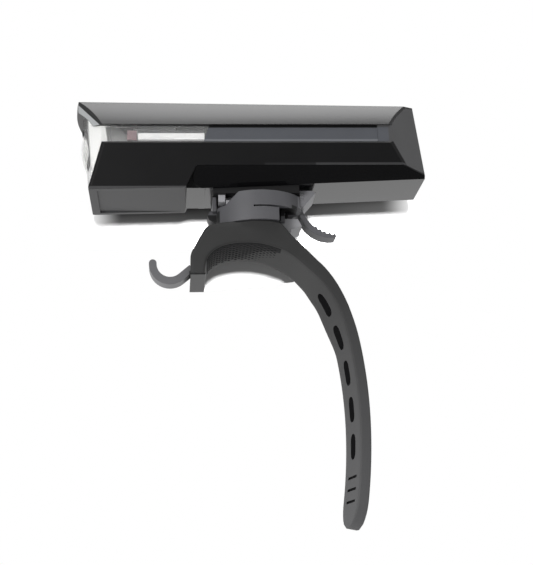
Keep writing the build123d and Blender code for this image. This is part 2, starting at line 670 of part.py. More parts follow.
def lens_plate():
    """The lens's front: three flat faces of one thickness, let into the shells."""
    whole = top_section(WALL) + strip_band(LENS_LIP)
    whole = whole + prism_y(housing_section(LENS_LIP, BLOCK_BOTTOM + LENS_LIP), -FAR / 2, FAR / 2)
    whole = cut_lens_front(cut_front(whole)) & block((-FAR, FAR), (-FAR, BLOCK_REAR), (0, FAR))
    behind = cut_front(block((-FAR, FAR), (-FAR / 2, 0), (0, FAR)), LENS_WALL)
    return whole - cut_lens_front(behind, LENS_WALL)


def strip_section(side):
    """Section of the recessed side strip, with the tongue that the top shell sits on."""
    out, back = HALF_WIDTH - STRIP_INSET, HALF_WIDTH - STRIP_INSET - LENS_WALL
    step = back + LENS_WALL / 2
    pts = [(back, STRIP_BOTTOM), (out, STRIP_BOTTOM), (out, STRIP_TOP), (step, STRIP_TOP),
           (step, SHELL_LIP), (back, SHELL_LIP)]
    return [(side * x, z) for x, z in pts]


def window_end():
    """Side outline behind the slanting rear end of the side window."""
    slope = (WINDOW_REAR_TOP - WINDOW_REAR_BOTTOM) / (STRIP_TOP - STRIP_BOTTOM)
    top = WINDOW_REAR_TOP + slope * (SHELL_LIP - STRIP_TOP)
    return [(WINDOW_REAR_BOTTOM, STRIP_BOTTOM), (top, SHELL_LIP), (FAR, SHELL_LIP), (FAR, STRIP_BOTTOM)]


def make_lens():
    lens = lens_plate()
    for side in (1, -1):
        arm = cut_front(prism_y(strip_section(side), LENS_FRONT_Y, 0))
        arm = arm - prism_x(window_end(), FAR)
        lens = lens + arm
    sphere_radius = (BULGE_RADIUS ** 2 + BULGE_HEIGHT ** 2) / (2 * BULGE_HEIGHT)
    face_y = LENS_FRONT_Y - LENS_LEAN * (BULGE_Z - REF_Z)
    ball = Pos(0, face_y - BULGE_HEIGHT + sphere_radius, BULGE_Z) * Sphere(sphere_radius)
    bulge = ball & block((-FAR, FAR), (-FAR, face_y + LENS_WALL / 2), (0, FAR))
    return lens + bulge


def make_side_strips():
    bars = []
    for side in (1, -1):
        bar = cut_rear(prism_y(strip_section(side), LENS_FRONT_Y, FAR))
        bars.append((bar & prism_x(window_end(), FAR)) - rear_plate())
    return Compound(children=bars)


def reflector_bowl(radius, throat, front, back):
    """Bowl profile turned about the beam's axis."""
    mid_y = (front + back) / 2 + (back - front) * 0.2
    mid_r = throat + (radius - throat) * 0.72
    line = Wire([
        Line((0, front, 0), (radius, front, 0)),
        ThreePointArc((radius, front, 0), (mid_r, mid_y, 0), (throat, back, 0)),
        Line((throat, back, 0), (0, back, 0)),
        Line((0, back, 0), (0, front, 0)),
    ])
    return Pos(0, 0, OPTIC_Z) * revolve(make_face(line), Axis.Y)


def make_reflector():
    """White reflector: a flange that follows the lens from behind, and a bowl to the emitter."""
    gap = LENS_WALL + FLANGE_GAP
    inset = WALL + FLANGE_GAP
    top = top_section(inset)
    low = prism_y(housing_section(inset, BLOCK_BOTTOM + WALL + FLANGE_GAP), -FAR / 2, FAR / 2)
    whole = top + strip_band(STRIP_INSET + gap) + low
    whole = cut_lens_front(cut_front(whole, gap), gap) & block((-FAR, FAR), (-FAR, BLOCK_REAR), (0, FAR))
    deep = gap + REFLECTOR_WALL
    flange = whole - cut_lens_front(cut_front(block((-FAR, FAR), (-FAR / 2, 0), (0, FAR)), deep), deep)
    mouth = LENS_FRONT_Y + gap - 0.5
    back = mouth + REFLECTOR_DEPTH + 0.5
    wall = REFLECTOR_WALL
    outside = reflector_bowl(REFLECTOR_RADIUS + wall, REFLECTOR_THROAT + wall, mouth, back)
    inside = reflector_bowl(REFLECTOR_RADIUS, REFLECTOR_THROAT, mouth - 1, back + 0.01)
    front_trim = cut_lens_front(outside, gap)
    return (flange + front_trim) - inside


def make_heat_sink():
    front = emitter_plane() + EMITTER_HEIGHT + LED_BOARD_THICKNESS
    half = SINK_WIDTH / 2
    low, high = OPTIC_Z - SINK_DROP, BOARD_BOTTOM - SINK_BOARD_GAP
    sink = block((-half, half), (front, front + SINK_PLATE), (low, high))
    pitch = (SINK_WIDTH - SINK_FIN) / (SINK_FIN_COUNT - 1)
    for i in range(SINK_FIN_COUNT):
        x = -half + i * pitch
        sink = sink + block((x, x + SINK_FIN), (front, front + SINK_LENGTH), (low, high))
    return sink


def emitter_plane():
    """Y of the light-emitting face's mounting plane, at the reflector's throat."""
    return LENS_FRONT_Y + LENS_WALL + FLANGE_GAP + REFLECTOR_DEPTH - EMITTER_HEIGHT


def make_led_board():
    front = emitter_plane() + EMITTER_HEIGHT
    return rod(LED_BOARD_RADIUS, (0, front, OPTIC_Z), (0, front + LED_BOARD_THICKNESS, OPTIC_Z))


def make_led_emitter():
    front = emitter_plane()
    half = EMITTER_SIZE / 2
    chip = block((-half, half), (front, front + EMITTER_HEIGHT), (OPTIC_Z - half, OPTIC_Z + half))
    dome = Pos(0, front, OPTIC_Z) * Sphere(EMITTER_SIZE * 0.42)
    dome = dome & block((-5, 5), (front - 5, front + 0.2), (OPTIC_Z - 5, OPTIC_Z + 5))
    return chip + dome


def make_battery():
    rear = CELL_FRONT + CELL_LENGTH
    cell = rod(CELL_RADIUS, (0, CELL_FRONT + CELL_CAP, CELL_Z), (0, rear, CELL_Z))
    return cell + rod(CELL_CAP_RADIUS, (0, CELL_FRONT, CELL_Z), (0, CELL_FRONT + CELL_CAP + 0.1, CELL_Z))


def make_cell_holder():
    """Cradle under the cell that stands on the cover's floor."""
    front, rear = CELL_FRONT + CRADLE_SHORT, CELL_FRONT + CELL_LENGTH - CRADLE_SHORT
    outer = sheared_cover(WALL + CRADLE_GAP, front, rear)
    outer = outer & block((-CRADLE_HALF, CRADLE_HALF), (-FAR, FAR), (0, CELL_Z - CRADLE_DROP))
    cradle = outer - rod(CELL_RADIUS + CRADLE_GAP, (0, -FAR, CELL_Z), (0, FAR, CELL_Z))
    for x, y in shoe_screw_places():
        cradle = cradle - rod(SCREW_RADIUS + 1.6, (x, y, 0), (x, y, CELL_Z))
    half = CRADLE_HALF - CRADLE_RIM
    return cradle - block((-half, half), (front + CRADLE_SADDLE, rear - CRADLE_SADDLE), (0, CELL_Z))


def make_main_board():
    half = BOARD_WIDTH / 2
    return block((-half, half), (BOARD_FRONT, BOARD_REAR), (BOARD_BOTTOM, BOARD_BOTTOM + BOARD_THICKNESS))


def make_board_posts():
    """Two spacers that hang the main board from the top shell."""
    posts = []
    for y in (BOARD_FRONT + SPACER_INSET, BOARD_REAR - SPACER_REAR_INSET):
        post = rod(SPACER_RADIUS, (0, y, BOARD_BOTTOM + BOARD_THICKNESS), (0, y, FAR))
        posts.append(keep_below(post, (0, y, shell_inside_top(y)), (0, TOP_SLOPE, 1)))
    return Compound(children=posts)


def make_tact_switch():
    half, base = SWITCH_SIZE / 2, BOARD_BOTTOM + BOARD_THICKNESS
    body = block((-half, half), (BUTTON_Y - half, BUTTON_Y + half), (base, base + SWITCH_HEIGHT))
    plunger = rod(PLUNGER_RADIUS, (0, BUTTON_Y, base + SWITCH_HEIGHT),
                  (0, BUTTON_Y, base + SWITCH_HEIGHT + PLUNGER_HEIGHT))
    return body + plunger


def make_power_button():
    switch_top = BOARD_BOTTOM + BOARD_THICKNESS + SWITCH_HEIGHT + PLUNGER_HEIGHT
    low = switch_top + BUTTON_TRAVEL + TURN_GAP
    high = top_height(BUTTON_Y) + BUTTON_PROUD
    cap = button_outline(0) & block((-FAR, FAR), (-FAR, FAR), (low, high))
    return fillet(cap.edges().group_by(Axis.Z)[-1], 0.35)


def make_status_led():
    half, base = STATUS_LED_SIZE / 2, BOARD_BOTTOM + BOARD_THICKNESS
    return block((-half, half), (INDICATOR_Y - half, INDICATOR_Y + half), (base, base + STATUS_LED_HEIGHT))


def make_indicator_lens():
    low = BOARD_BOTTOM + BOARD_THICKNESS + STATUS_LED_HEIGHT + 0.1
    pipe = rod(INDICATOR_RADIUS, (0, INDICATOR_Y, low), (0, INDICATOR_Y, FAR))
    return keep_below(pipe, (0, VISOR_CORNER_Y, TOP_FRONT_HEIGHT), (0, TOP_SLOPE, 1))


def side_pieces(front, length):
    """A small bar behind each side window."""
    out = HALF_WIDTH - STRIP_INSET - LENS_WALL - GUIDE_GAP
    bars = []
    for side in (1, -1):
        x = sorted((side * (out - GUIDE_DEPTH), side * out))
        bars.append(block(x, (front, front + length), (GUIDE_BOTTOM, GUIDE_BOTTOM + GUIDE_HEIGHT)))
    return Compound(children=bars)


def make_port_board():
    half = PORT_BOARD_WIDTH / 2
    return block((-half, half), (PORT_BOARD_Y, BOARD_REAR), (PORT_BOARD_LOW, BOARD_BOTTOM))


def make_usb_socket():
    half, tall = PORT_WIDTH / 2, PORT_HEIGHT / 2
    start = PORT_BOARD_Y + BOARD_THICKNESS
    shell = block((-half, half), (start, start + PORT_LENGTH), (PORT_Z - tall, PORT_Z + tall))
    shell = fillet(shell.edges().filter_by(Axis.Y), tall * 0.6)
    hollow = block((-half + PORT_WALL, half - PORT_WALL), (start + 1.5, FAR),
                   (PORT_Z - tall + PORT_WALL, PORT_Z + tall - PORT_WALL))
    blade, thin = half - 3 * PORT_WALL, PORT_BLADE / 2
    end = start + PORT_LENGTH - 2 * PORT_WALL
    tongue = block((-blade, blade), (start + 1, end), (PORT_Z - thin, PORT_Z + thin))
    return (shell - hollow) + tongue


def make_port_cover():
    """Rubber flap let into the rear cap over the charging port, with a plug for the port's opening."""
    y = flap_axis_y()
    slab = keep_below(flap_zone(0, FLAP_RECESS), (0, REAR_FACE_Y - FLAP_RECESS + FLAP_THICKNESS, REF_Z),
                      (0, 1, REAR_FACE_LEAN))
    upper = [e for e in slab.edges().filter_by(Axis.Y, tolerance=12) if e.center().Z > FLAP_TOP - 0.3]
    slab = fillet(upper, 1.5)
    low = block((-FAR, FAR), (0, FAR), (0, FLAP_AXIS_Z))
    half = FLAP_BARREL_WIDTH / 2
    barrel = rod(FLAP_THICKNESS / 2, (-half, y, FLAP_AXIS_Z), (half, y, FLAP_AXIS_Z))
    slab = (slab - low) + barrel
    wide = PORT_OPENING_WIDTH / 2 - PORT_PLUG_GAP
    high = PORT_OPENING_HEIGHT / 2 - PORT_PLUG_GAP - 0.3
    face = rear_face(PORT_Z) - FLAP_RECESS
    plug = block((-wide, wide), (face - FLAP_PLUG_DEPTH, face + 0.3), (PORT_Z - high, PORT_Z + high))
    return slab + plug - make_flap_pin(FIT_GAP)


def make_cap_screws():
    screws = []
    for x in (-CAP_SCREW_X, CAP_SCREW_X):
        face, z = rear_face(CAP_SCREW_Z), CAP_SCREW_Z
        head = rod(SCREW_HEAD_RADIUS, (x, face - SCREW_HEAD_HEIGHT, z), (x, face - 0.25, z))
        shank = rod(SCREW_RADIUS, (x, face - CAP_SCREW_LENGTH, z), (x, face - SCREW_HEAD_HEIGHT + 0.1, z))
        screws.append(head + shank)
    return Compound(children=screws)


# Shoe under the light

def make_shoe():
    half, top = SHOE_WIDTH / 2, STRIP_BOTTOM
    plate = block((-half, half), (SHOE_FRONT, SHOE_REAR), (SHOE_BOTTOM, top))
    neck = block((-RAIL_NECK_WIDTH / 2, RAIL_NECK_WIDTH / 2), (RAIL_FRONT, RAIL_REAR), (RAIL_BOTTOM, top))
    flange = block((-RAIL_WIDTH / 2, RAIL_WIDTH / 2), (RAIL_FRONT, RAIL_REAR),
                   (RAIL_BOTTOM, RAIL_BOTTOM + RAIL_FLANGE))
    post = block((-POST_WIDTH / 2, POST_WIDTH / 2), (POST_FRONT, POST_FRONT + POST_DEPTH), (POST_BOTTOM, top))
    half = FRONT_PLATE_WIDTH / 2
    front = block((-half, half), (SHOE_FRONT, SHOE_FRONT + FRONT_PLATE_DEPTH), (FRONT_PLATE_BOTTOM, top))
    notch = NOSE_WIDTH / 2 + NOSE_GAP
    front = front - block((-notch, notch), (-FAR, 0), (0, RAIL_BOTTOM + NOSE_GAP))
    shoe = plate + neck + flange + post + front
    half, play = TOOTH_WIDTH / 2 + GROOVE_CLEARANCE, GROOVE_CLEARANCE
    shoe = shoe - block((-half, half), (TOOTH_Y - play, FAR), (0, TOOTH_TOP + play))
    shoe = keep_below(shoe, (0, 0, COVER_BOTTOM_MID), (0, -COVER_SLOPE, 1))
    for x, y in shoe_screw_places():
        shoe = shoe - rod(SCREW_RADIUS + FIT_GAP, (x, y, 0), (x, y, FAR))
        seat = RAIL_BOTTOM + SCREW_HEAD_HEIGHT + SCREW_SINK
        shoe = shoe - rod(SCREW_HEAD_RADIUS + 0.1, (x, y, 0), (x, y, seat))
    return shoe


def make_shoe_screws():
    screws = []
    for x, y in shoe_screw_places():
        low, high = RAIL_BOTTOM + SCREW_SINK, RAIL_BOTTOM + SCREW_HEAD_HEIGHT + SCREW_SINK
        head = rod(SCREW_HEAD_RADIUS, (x, y, low), (x, y, high))
        shank = rod(SCREW_RADIUS, (x, y, high - SCREW_SINK), (x, y, cover_bottom(y) + SHOE_SCREW_REACH))
        screws.append(head + shank)
    return Compound(children=screws)


# Turntable with the channel

def ring_disc(radius, low, high, front, rear):
    disc = rod(radius, (0, PIVOT_Y, low), (0, PIVOT_Y, high))
    return disc & block((-FAR, FAR), (front, rear), (low, high))


def make_receiver():
    floor = SADDLE_TOP + TURN_GAP
    upper = ring_disc(RING_RADIUS, RING_SPLIT, RING_TOP, RING_FRONT, RING_REAR)
    lower = ring_disc(RING_RADIUS, floor, RING_SPLIT, RING_FRONT, RING_LOWER_REAR)
    body = upper + lower
    slit = ring_disc(RING_RADIUS + 1, RING_SPLIT - SLIT_HEIGHT, RING_SPLIT, SLIT_START, RING_LOWER_REAR + 1)
    slit = slit - ring_disc(RING_RADIUS - SLIT_DEPTH, RING_SPLIT - 2, RING_SPLIT + 1, -FAR, FAR)
    body = body - slit
    run = RING_CHAMFER_FRONT + RING_CHAMFER_RUN
    chamfer = prism_x([(RING_FRONT - 5, RING_FRONT_HEIGHT), (RING_CHAMFER_FRONT, RING_FRONT_HEIGHT),
                       (run, RING_TOP + 0.01), (RING_CHAMFER_FRONT, RING_TOP + 5),
                       (RING_FRONT - 5, RING_TOP + 5)], FAR)
    body = body - chamfer
    front = SHOE_REAR + STOP_GAP
    stop = prism_x([(front, STOP_TOP), (STOP_REAR - 1.2, STOP_TOP), (STOP_REAR, STOP_TOP - 0.6),
                    (RING_REAR + 0.8, STOP_FOOT), (front, STOP_FOOT)], STOP_WIDTH)
    body = body + stop
    for i in range(STOP_RIB_COUNT):
        z = STOP_TOP - 0.9 - i * STOP_RIB_PITCH
        body = body + block((-STOP_WIDTH / 2 - STOP_RIB_PROUD, STOP_WIDTH / 2 + STOP_RIB_PROUD),
                            (front, front + 1.2), (z - STOP_RIB_HEIGHT, z))
    for side in (1, -1):
        body = body + block(sorted((side * LUG_INNER, side * (LUG_INNER + LUG_WIDTH))), (LUG_FRONT, LUG_REAR),
                            (LUG_BOTTOM, RING_SPLIT + 0.1))
    nose_radius = (RAIL_BOTTOM - NOSE_BOTTOM) / 2
    nose = rod(nose_radius, (-NOSE_WIDTH / 2, NOSE_FRONT + nose_radius, NOSE_BOTTOM + nose_radius),
               (NOSE_WIDTH / 2, NOSE_FRONT + nose_radius, NOSE_BOTTOM + nose_radius))
    nose = nose + block((-NOSE_WIDTH / 2, NOSE_WIDTH / 2), (NOSE_FRONT + nose_radius, RING_FRONT + 0.2),
                        (NOSE_BOTTOM, RAIL_BOTTOM))
    body = body + nose
    wide = RAIL_WIDTH / 2 + RAIL_GAP
    low, high = RAIL_BOTTOM - RAIL_GAP, RAIL_BOTTOM + RAIL_FLANGE + RAIL_GAP
    channel = block((-wide, wide), (-FAR, RAIL_REAR + RAIL_GAP), (low, high))
    neck = RAIL_NECK_WIDTH / 2 + RAIL_GAP
    channel = channel + block((-neck, neck), (-FAR, RAIL_REAR + RAIL_GAP), (low, FAR))
    body = body - channel
    cavity = LEVER_CAVITY_WIDTH / 2
    body = body - block((-cavity, cavity), (LEVER_CAVITY_FRONT, FAR), (0, LEVER_ARM_TOP + LEVER_CAVITY_GAP))
    body = body - block((-cavity, cavity), (LEVER_HEEL_Y - LEVER_CAVITY_GAP, FAR),
                        (0, LEVER_HEEL_TOP + LEVER_CAVITY_GAP))
    window = TOOTH_WIDTH / 2 + 0.3
    body = body - block((-window, window), (TOOTH_Y - 0.5, TOOTH_Y + TOOTH_DEPTH + 0.6),
                        (RING_SPLIT - 2, low + 0.1))
    body = body - rod(LEVER_PIN_RADIUS, (-LEVER_PIN_LENGTH / 2, LEVER_PIN_Y, LEVER_PIN_Z),
                      (LEVER_PIN_LENGTH / 2, LEVER_PIN_Y, LEVER_PIN_Z))
    for side in (1, -1):
        ear = block(sorted((side * (cavity + 0.05), side * (LEVER_PIN_LENGTH / 2))),
                    (RING_LOWER_REAR - 0.5, LEVER_PIN_Y + 1.6), (LEVER_PIN_Z - 1.0, RING_SPLIT + 0.2))
        body = body + ear
    body = body - rod(LEVER_PIN_RADIUS, (-LEVER_PIN_LENGTH / 2, LEVER_PIN_Y, LEVER_PIN_Z),
                      (LEVER_PIN_LENGTH / 2, LEVER_PIN_Y, LEVER_PIN_Z))
    boss_top = SADDLE_TOP + BASE_BOSS_HEIGHT
    boss = rod(BASE_BOSS_RADIUS + FIT_GAP, (0, PIVOT_Y, 0), (0, PIVOT_Y, boss_top + TURN_GAP))
    head_room = rod(WASHER_RADIUS + 0.2, (0, PIVOT_Y, boss_top), (0, PIVOT_Y, low + 0.2))
    return body - boss - head_room


def make_release_lever():
    half, neck = LEVER_WIDTH / 2, LEVER_HUB_WIDTH / 2
    hub = rod(LEVER_HUB_RADIUS, (-neck, LEVER_PIN_Y, LEVER_PIN_Z), (neck, LEVER_PIN_Y, LEVER_PIN_Z))
    shoulder = LEVER_PIN_Y + SPRING_OUTER_RADIUS + 0.2
    arm = block((-neck, neck), (LEVER_PIN_Y, shoulder + 1), (LEVER_ARM_BOTTOM, LEVER_ARM_TOP))
    arm = arm + prism_x([(shoulder, LEVER_ARM_BOTTOM), (LEVER_HEEL_Y, LEVER_ARM_BOTTOM),
                         (LEVER_ELBOW_Y - 0.8, LEVER_ARM_BOTTOM + 1.1), (LEVER_ELBOW_Y, LEVER_HEEL_TOP),
                         (LEVER_HEEL_Y + 1, LEVER_HEEL_TOP), (LEVER_HEEL_Y, LEVER_ARM_TOP),
                         (shoulder, LEVER_ARM_TOP)], LEVER_WIDTH)
    start_top, start_low = (LEVER_ELBOW_Y, LEVER_HEEL_TOP), (LEVER_ELBOW_Y - 0.8, LEVER_ARM_BOTTOM + 1.1)
    tip_top, tip_low = (LEVER_TIP_Y, LEVER_TIP_Z + LEVER_THICKNESS * 0.4), (LEVER_TIP_Y - 0.5, LEVER_TIP_Z)
    sag = LEVER_SAG * 0.6
    mid_top = ((start_top[0] + tip_top[0]) / 2 - sag, (start_top[1] + tip_top[1]) / 2 - sag)
    mid_low = (mid_top[0] - LEVER_THICKNESS * 0.62, mid_top[1] - LEVER_THICKNESS * 0.78)
    arc = ThreePointArc(start_top, mid_top, tip_top)
    outline = Wire([Line(start_low, start_top), arc, Line(tip_top, tip_low),
                    ThreePointArc(tip_low, mid_low, start_low)])
    grip = Pos(-half, 0, 0) * extrude(Plane.YZ * make_face(outline), LEVER_WIDTH, dir=(1, 0, 0))
    lever = hub + arm + grip
    rear = TOOTH_Y + TOOTH_DEPTH
    tooth = prism_x([(TOOTH_Y, LEVER_ARM_TOP - 0.2), (TOOTH_Y + TOOTH_RAMP, TOOTH_TOP), (rear, TOOTH_TOP),
                     (rear, LEVER_ARM_TOP - 0.2)], TOOTH_WIDTH)
    lever = lever + tooth
    for i in range(LEVER_RIB_COUNT):
        at = arc @ (0.95 - 0.11 * i)
        lever = lever + rod(LEVER_RIB_RADIUS, (-half, at.X, at.Y), (half, at.X, at.Y))
    return lever - rod(LEVER_PIN_RADIUS + FIT_GAP, (-half, LEVER_PIN_Y, LEVER_PIN_Z),
                       (half, LEVER_PIN_Y, LEVER_PIN_Z))


# Saddle, hook and strap

def arc_points(angle):
    """Point of the bar's surface at an angle from +Y."""
    a = math.radians(angle)
    return (BAR_RADIUS * math.cos(a), BAR_RADIUS * math.sin(a))


def strap_path():
    """Stations along the strap's inner face: (y, z, heading in degrees, distance) at each bend's end."""
    y, z = arc_points(SEAT_END_ANGLE)
    heading = SEAT_END_ANGLE - 90
    y += STRAP_LEAD * math.cos(math.radians(heading))
    z += STRAP_LEAD * math.sin(math.radians(heading))
    stations = [(y, z, heading)]
    for length, turn in STRAP_BENDS:
        radius = length / math.radians(turn)
        a0 = math.radians(heading)
        a1 = math.radians(heading + turn)
        y += radius * (math.sin(a1) - math.sin(a0))
        z += radius * (math.cos(a0) - math.cos(a1))
        heading += turn
        stations.append((y, z, heading))
    return stations


def strap_at(distance):
    """Point and heading on the strap's inner face, at a distance from its root."""
    y, z, heading = strap_path()[0]
    for length, turn in STRAP_BENDS:
        step = min(distance, length)
        radius = length / math.radians(turn)
        a0 = math.radians(heading)
        a1 = a0 + step / radius
        y += radius * (math.sin(a1) - math.sin(a0))
        z += radius * (math.cos(a0) - math.cos(a1))
        heading = math.degrees(a1)
        distance -= step
        if distance <= 0:
            break
    return y, z, heading


def offset_point(y, z, heading, out):
    """Point beside the path, on the side away from the bar."""
    a = math.radians(heading + 90)
    return (y + out * math.cos(a), z + out * math.sin(a))


def strap_frame(distance):
    """Plane at a point of the strap, its x along X and its z out of the inner face."""
    y, z, heading = strap_at(distance)
    a = math.radians(heading + 90)
    return Plane(origin=(0, y, z), x_dir=(1, 0, 0), z_dir=(0, math.cos(a), math.sin(a)))


def make_strap():
    total = sum(length for length, turn in STRAP_BENDS)
    marks = [0]
    for length, turn in STRAP_BENDS:
        marks.append(marks[-1] + length)
    edges = []
    for out in (0, STRAP_THICKNESS):
        for a, b in zip(marks, marks[1:]):
            pts = [offset_point(*strap_at(d), out) for d in (a, (a + b) / 2, b)]
            edges.append(ThreePointArc(*pts))
    for mark in (0, total):
        edges.append(Line(offset_point(*strap_at(mark), 0), offset_point(*strap_at(mark), STRAP_THICKNESS)))
    outline = Wire(edges)
    strap = Pos(-STRAP_WIDTH / 2, 0, 0) * extrude(Plane.YZ * make_face(outline), STRAP_WIDTH, dir=(1, 0, 0))
    tip = strap.edges().filter_by(lambda e: e.center().Z < strap.bounding_box().min.Z + 3)
    upright = [e for e in tip if e.length < STRAP_THICKNESS + 0.2]
    corners = [e for e in upright if abs(abs(e.center().X) - STRAP_WIDTH / 2) < 0.1]
    strap = fillet(corners, STRAP_TIP_RADIUS)
    for i in range(SLOT_COUNT):
        frame = strap_frame(SLOT_FIRST + i * SLOT_PITCH)
        hole = extrude(frame * RectangleRounded(SLOT_WIDTH, SLOT_LENGTH, SLOT_WIDTH * 0.45), 10, both=True)
        strap = strap - hole
    first = SLOT_FIRST + (SLOT_COUNT - 1) * SLOT_PITCH + GROOVE_FIRST_GAP
    for i in range(GROOVE_COUNT):
        frame = strap_frame(first + i * GROOVE_PITCH)
        groove = frame * Box(STRAP_WIDTH * 0.7, GROOVE_WIDTH, 2 * GROOVE_DEPTH)
        strap = strap - groove
    return strap


def make_saddle():
    y, z, heading = strap_path()[0]
    root_in = (y, z)
    root_out = offset_point(y, z, heading, STRAP_THICKNESS)
    seat_end = arc_points(SEAT_END_ANGLE)
    seat_top = arc_points(SEAT_CROWN_ANGLE)
    shoulder = (SADDLE_REAR, SADDLE_TOP - SADDLE_REAR_LIP)
    middle = (Vector(*root_out) + Vector(*shoulder)) / 2
    chord = Vector(*root_out) - Vector(*shoulder)
    swell = middle + Vector(-chord.Y, chord.X).normalized() * SADDLE_REAR_SWELL
    round_end = (SADDLE_FRONT - FRONT_ROUND_RUN, SADDLE_TOP - FRONT_ROUND_DROP)
    round_mid = (SADDLE_FRONT - FRONT_ROUND_RUN * 0.667, SADDLE_TOP - FRONT_ROUND_DROP * 0.35)
    leg_shoulder = (LEG_BACK, SADDLE_TOP - LEG_SHOULDER_DROP)
    leg_in = (-math.sqrt(BAR_RADIUS ** 2 - LEG_SEAM ** 2), LEG_SEAM)
    outline = Wire([
        ThreePointArc(leg_in, seat_top, seat_end),
        Line(seat_end, root_in),
        Line(root_in, root_out),
        ThreePointArc(root_out, (swell.X, swell.Y), shoulder),
        Line(shoulder, (SADDLE_REAR, SADDLE_TOP)),
        Line((SADDLE_REAR, SADDLE_TOP), (SADDLE_FRONT, SADDLE_TOP)),
        ThreePointArc((SADDLE_FRONT, SADDLE_TOP), round_mid, round_end),
        Line(round_end, leg_shoulder),
        Line(leg_shoulder, (LEG_BACK, LEG_SEAM)),
        Line((LEG_BACK, LEG_SEAM), leg_in),
    ])
    body = Pos(-SADDLE_WIDTH / 2, 0, 0) * extrude(Plane.YZ * make_face(outline), SADDLE_WIDTH, dir=(1, 0, 0))
    wide, narrow = SADDLE_WIDTH / 2, STRAP_WIDTH / 2
    plan = Polyline((-wide, -FAR), (wide, -FAR), (wide, TAPER_START), (narrow, root_in[0]), (narrow, FAR),
                    (-narrow, FAR), (-narrow, root_in[0]), (-wide, TAPER_START), close=True)
    body = body & extrude(make_face(plan), FAR)
    foot, head = Plane((0, PIVOT_Y, BAR_RADIUS + CROWN_CLEARANCE)), Plane((0, PIVOT_Y, SADDLE_TOP))
    crown = loft([foot * Circle(SADDLE_WIDTH / 2), head * Circle(RING_RADIUS - CROWN_STEP)])
    crown = crown & block((-FAR, FAR), (RING_FRONT, SADDLE_REAR), (0, FAR))
    body = body + crown
    plate = rod(BASE_RADIUS, (0, PIVOT_Y, SADDLE_TOP - BASE_THICKNESS), (0, PIVOT_Y, FAR))
    body = body - plate - pad_shape() - make_hook() - make_pivot_nut()
    return body - tongue_block()


def pad_shape():
    """Curved pad let into the seat."""
    ring = rod(BAR_RADIUS + PAD_THICKNESS, (-PAD_WIDTH / 2, 0, 0), (PAD_WIDTH / 2, 0, 0))
    ring = ring - rod(BAR_RADIUS, (-SADDLE_WIDTH, 0, 0), (SADDLE_WIDTH, 0, 0))
    spread = []
    for angle in (PAD_END_ANGLE, (PAD_END_ANGLE + PAD_START_ANGLE) / 2, PAD_START_ANGLE):
        a = math.radians(angle)
        spread.append((FAR * math.cos(a), FAR * math.sin(a)))
    wedge = prism_x([(0, 0)] + spread, FAR)
    return ring & wedge


def make_hook():
    """Hard hook: a rounded J, a root inside the rubber leg, and the foot at the leg's end."""
    inner, outer = HOOK_INNER_RADIUS, HOOK_INNER_RADIUS + HOOK_BAR
    cy, cz = HOOK_CENTRE_Y, HOOK_CENTRE_Z
    rise = math.radians(HOOK_RISE_ANGLE)
    exit_angle = rise - math.pi / 2
    inner_exit = (cy + inner * math.cos(exit_angle), cz + inner * math.sin(exit_angle))
    outer_exit = (cy + outer * math.cos(exit_angle), cz + outer * math.sin(exit_angle))
    mid = math.radians(-90 - (90 - HOOK_RISE_ANGLE) / 2)
    run = (LEG_BACK + HOOK_BURY - outer_exit[0]) / math.cos(rise)
    root_in = (inner_exit[0] + run * math.cos(rise), inner_exit[1] + run * math.sin(rise))
    root_out = (outer_exit[0] + run * math.cos(rise), outer_exit[1] + run * math.sin(rise))
    tip_z = cz + HOOK_TIP_RISE
    outline = Wire([
        ThreePointArc((cy - inner, cz), (cy + inner * math.cos(mid), cz + inner * math.sin(mid)), inner_exit),
        Line(inner_exit, root_in),
        Line(root_in, root_out),
        Line(root_out, outer_exit),
        ThreePointArc(outer_exit, (cy + outer * math.cos(mid), cz + outer * math.sin(mid)), (cy - outer, cz)),
        Line((cy - outer, cz), (cy - outer, tip_z)),
        ThreePointArc((cy - outer, tip_z), (cy - (inner + outer) / 2, tip_z + HOOK_BAR / 2),
                      (cy - inner, tip_z)),
        Line((cy - inner, tip_z), (cy - inner, cz)),
    ])
    hook = Pos(-HOOK_WIDTH / 2, 0, 0) * extrude(Plane.YZ * make_face(outline), HOOK_WIDTH, dir=(1, 0, 0))
    root = block((-HOOK_WIDTH / 2, HOOK_WIDTH / 2), (LEG_BACK + HOOK_SKIN, LEG_BACK + HOOK_SKIN + HOOK_ROOT),
                 (LEG_SEAM - 1, root_in[1]))
    seam, middle, low = [(-math.sqrt(BAR_RADIUS ** 2 - z ** 2), z) for z in (LEG_SEAM, FOOT_HIGH, FOOT_LOW)]
    toe = (-BAR_RADIUS - FOOT_TOE, LEG_FOOT)
    foot_outline = Wire([
        Line((LEG_BACK, LEG_SEAM), seam),
        ThreePointArc(seam, middle, low),
        Line(low, toe),
        Line(toe, (LEG_BACK, LEG_FOOT + FOOT_CHAMFER)),
        Line((LEG_BACK, LEG_FOOT + FOOT_CHAMFER), (LEG_BACK, LEG_SEAM)),
    ])
    foot_face = Plane.YZ * make_face(foot_outline)
    foot = Pos(-SADDLE_WIDTH / 2, 0, 0) * extrude(foot_face, SADDLE_WIDTH, dir=(1, 0, 0))
    return hook + root + foot


def tongue_block():
    """Rear tongue of the base plate, over the saddle's shoulder."""
    return prism_x([(TONGUE_FRONT, TONGUE_TOP), (TONGUE_REAR - 1.2, TONGUE_TOP),
                    (TONGUE_REAR, TONGUE_DROP + 1.0), (TONGUE_REAR - 3.2, TONGUE_DROP),
                    (TONGUE_REAR - 5.2, TONGUE_DROP - 0.3), (TONGUE_FRONT, TONGUE_DROP)], TONGUE_WIDTH)


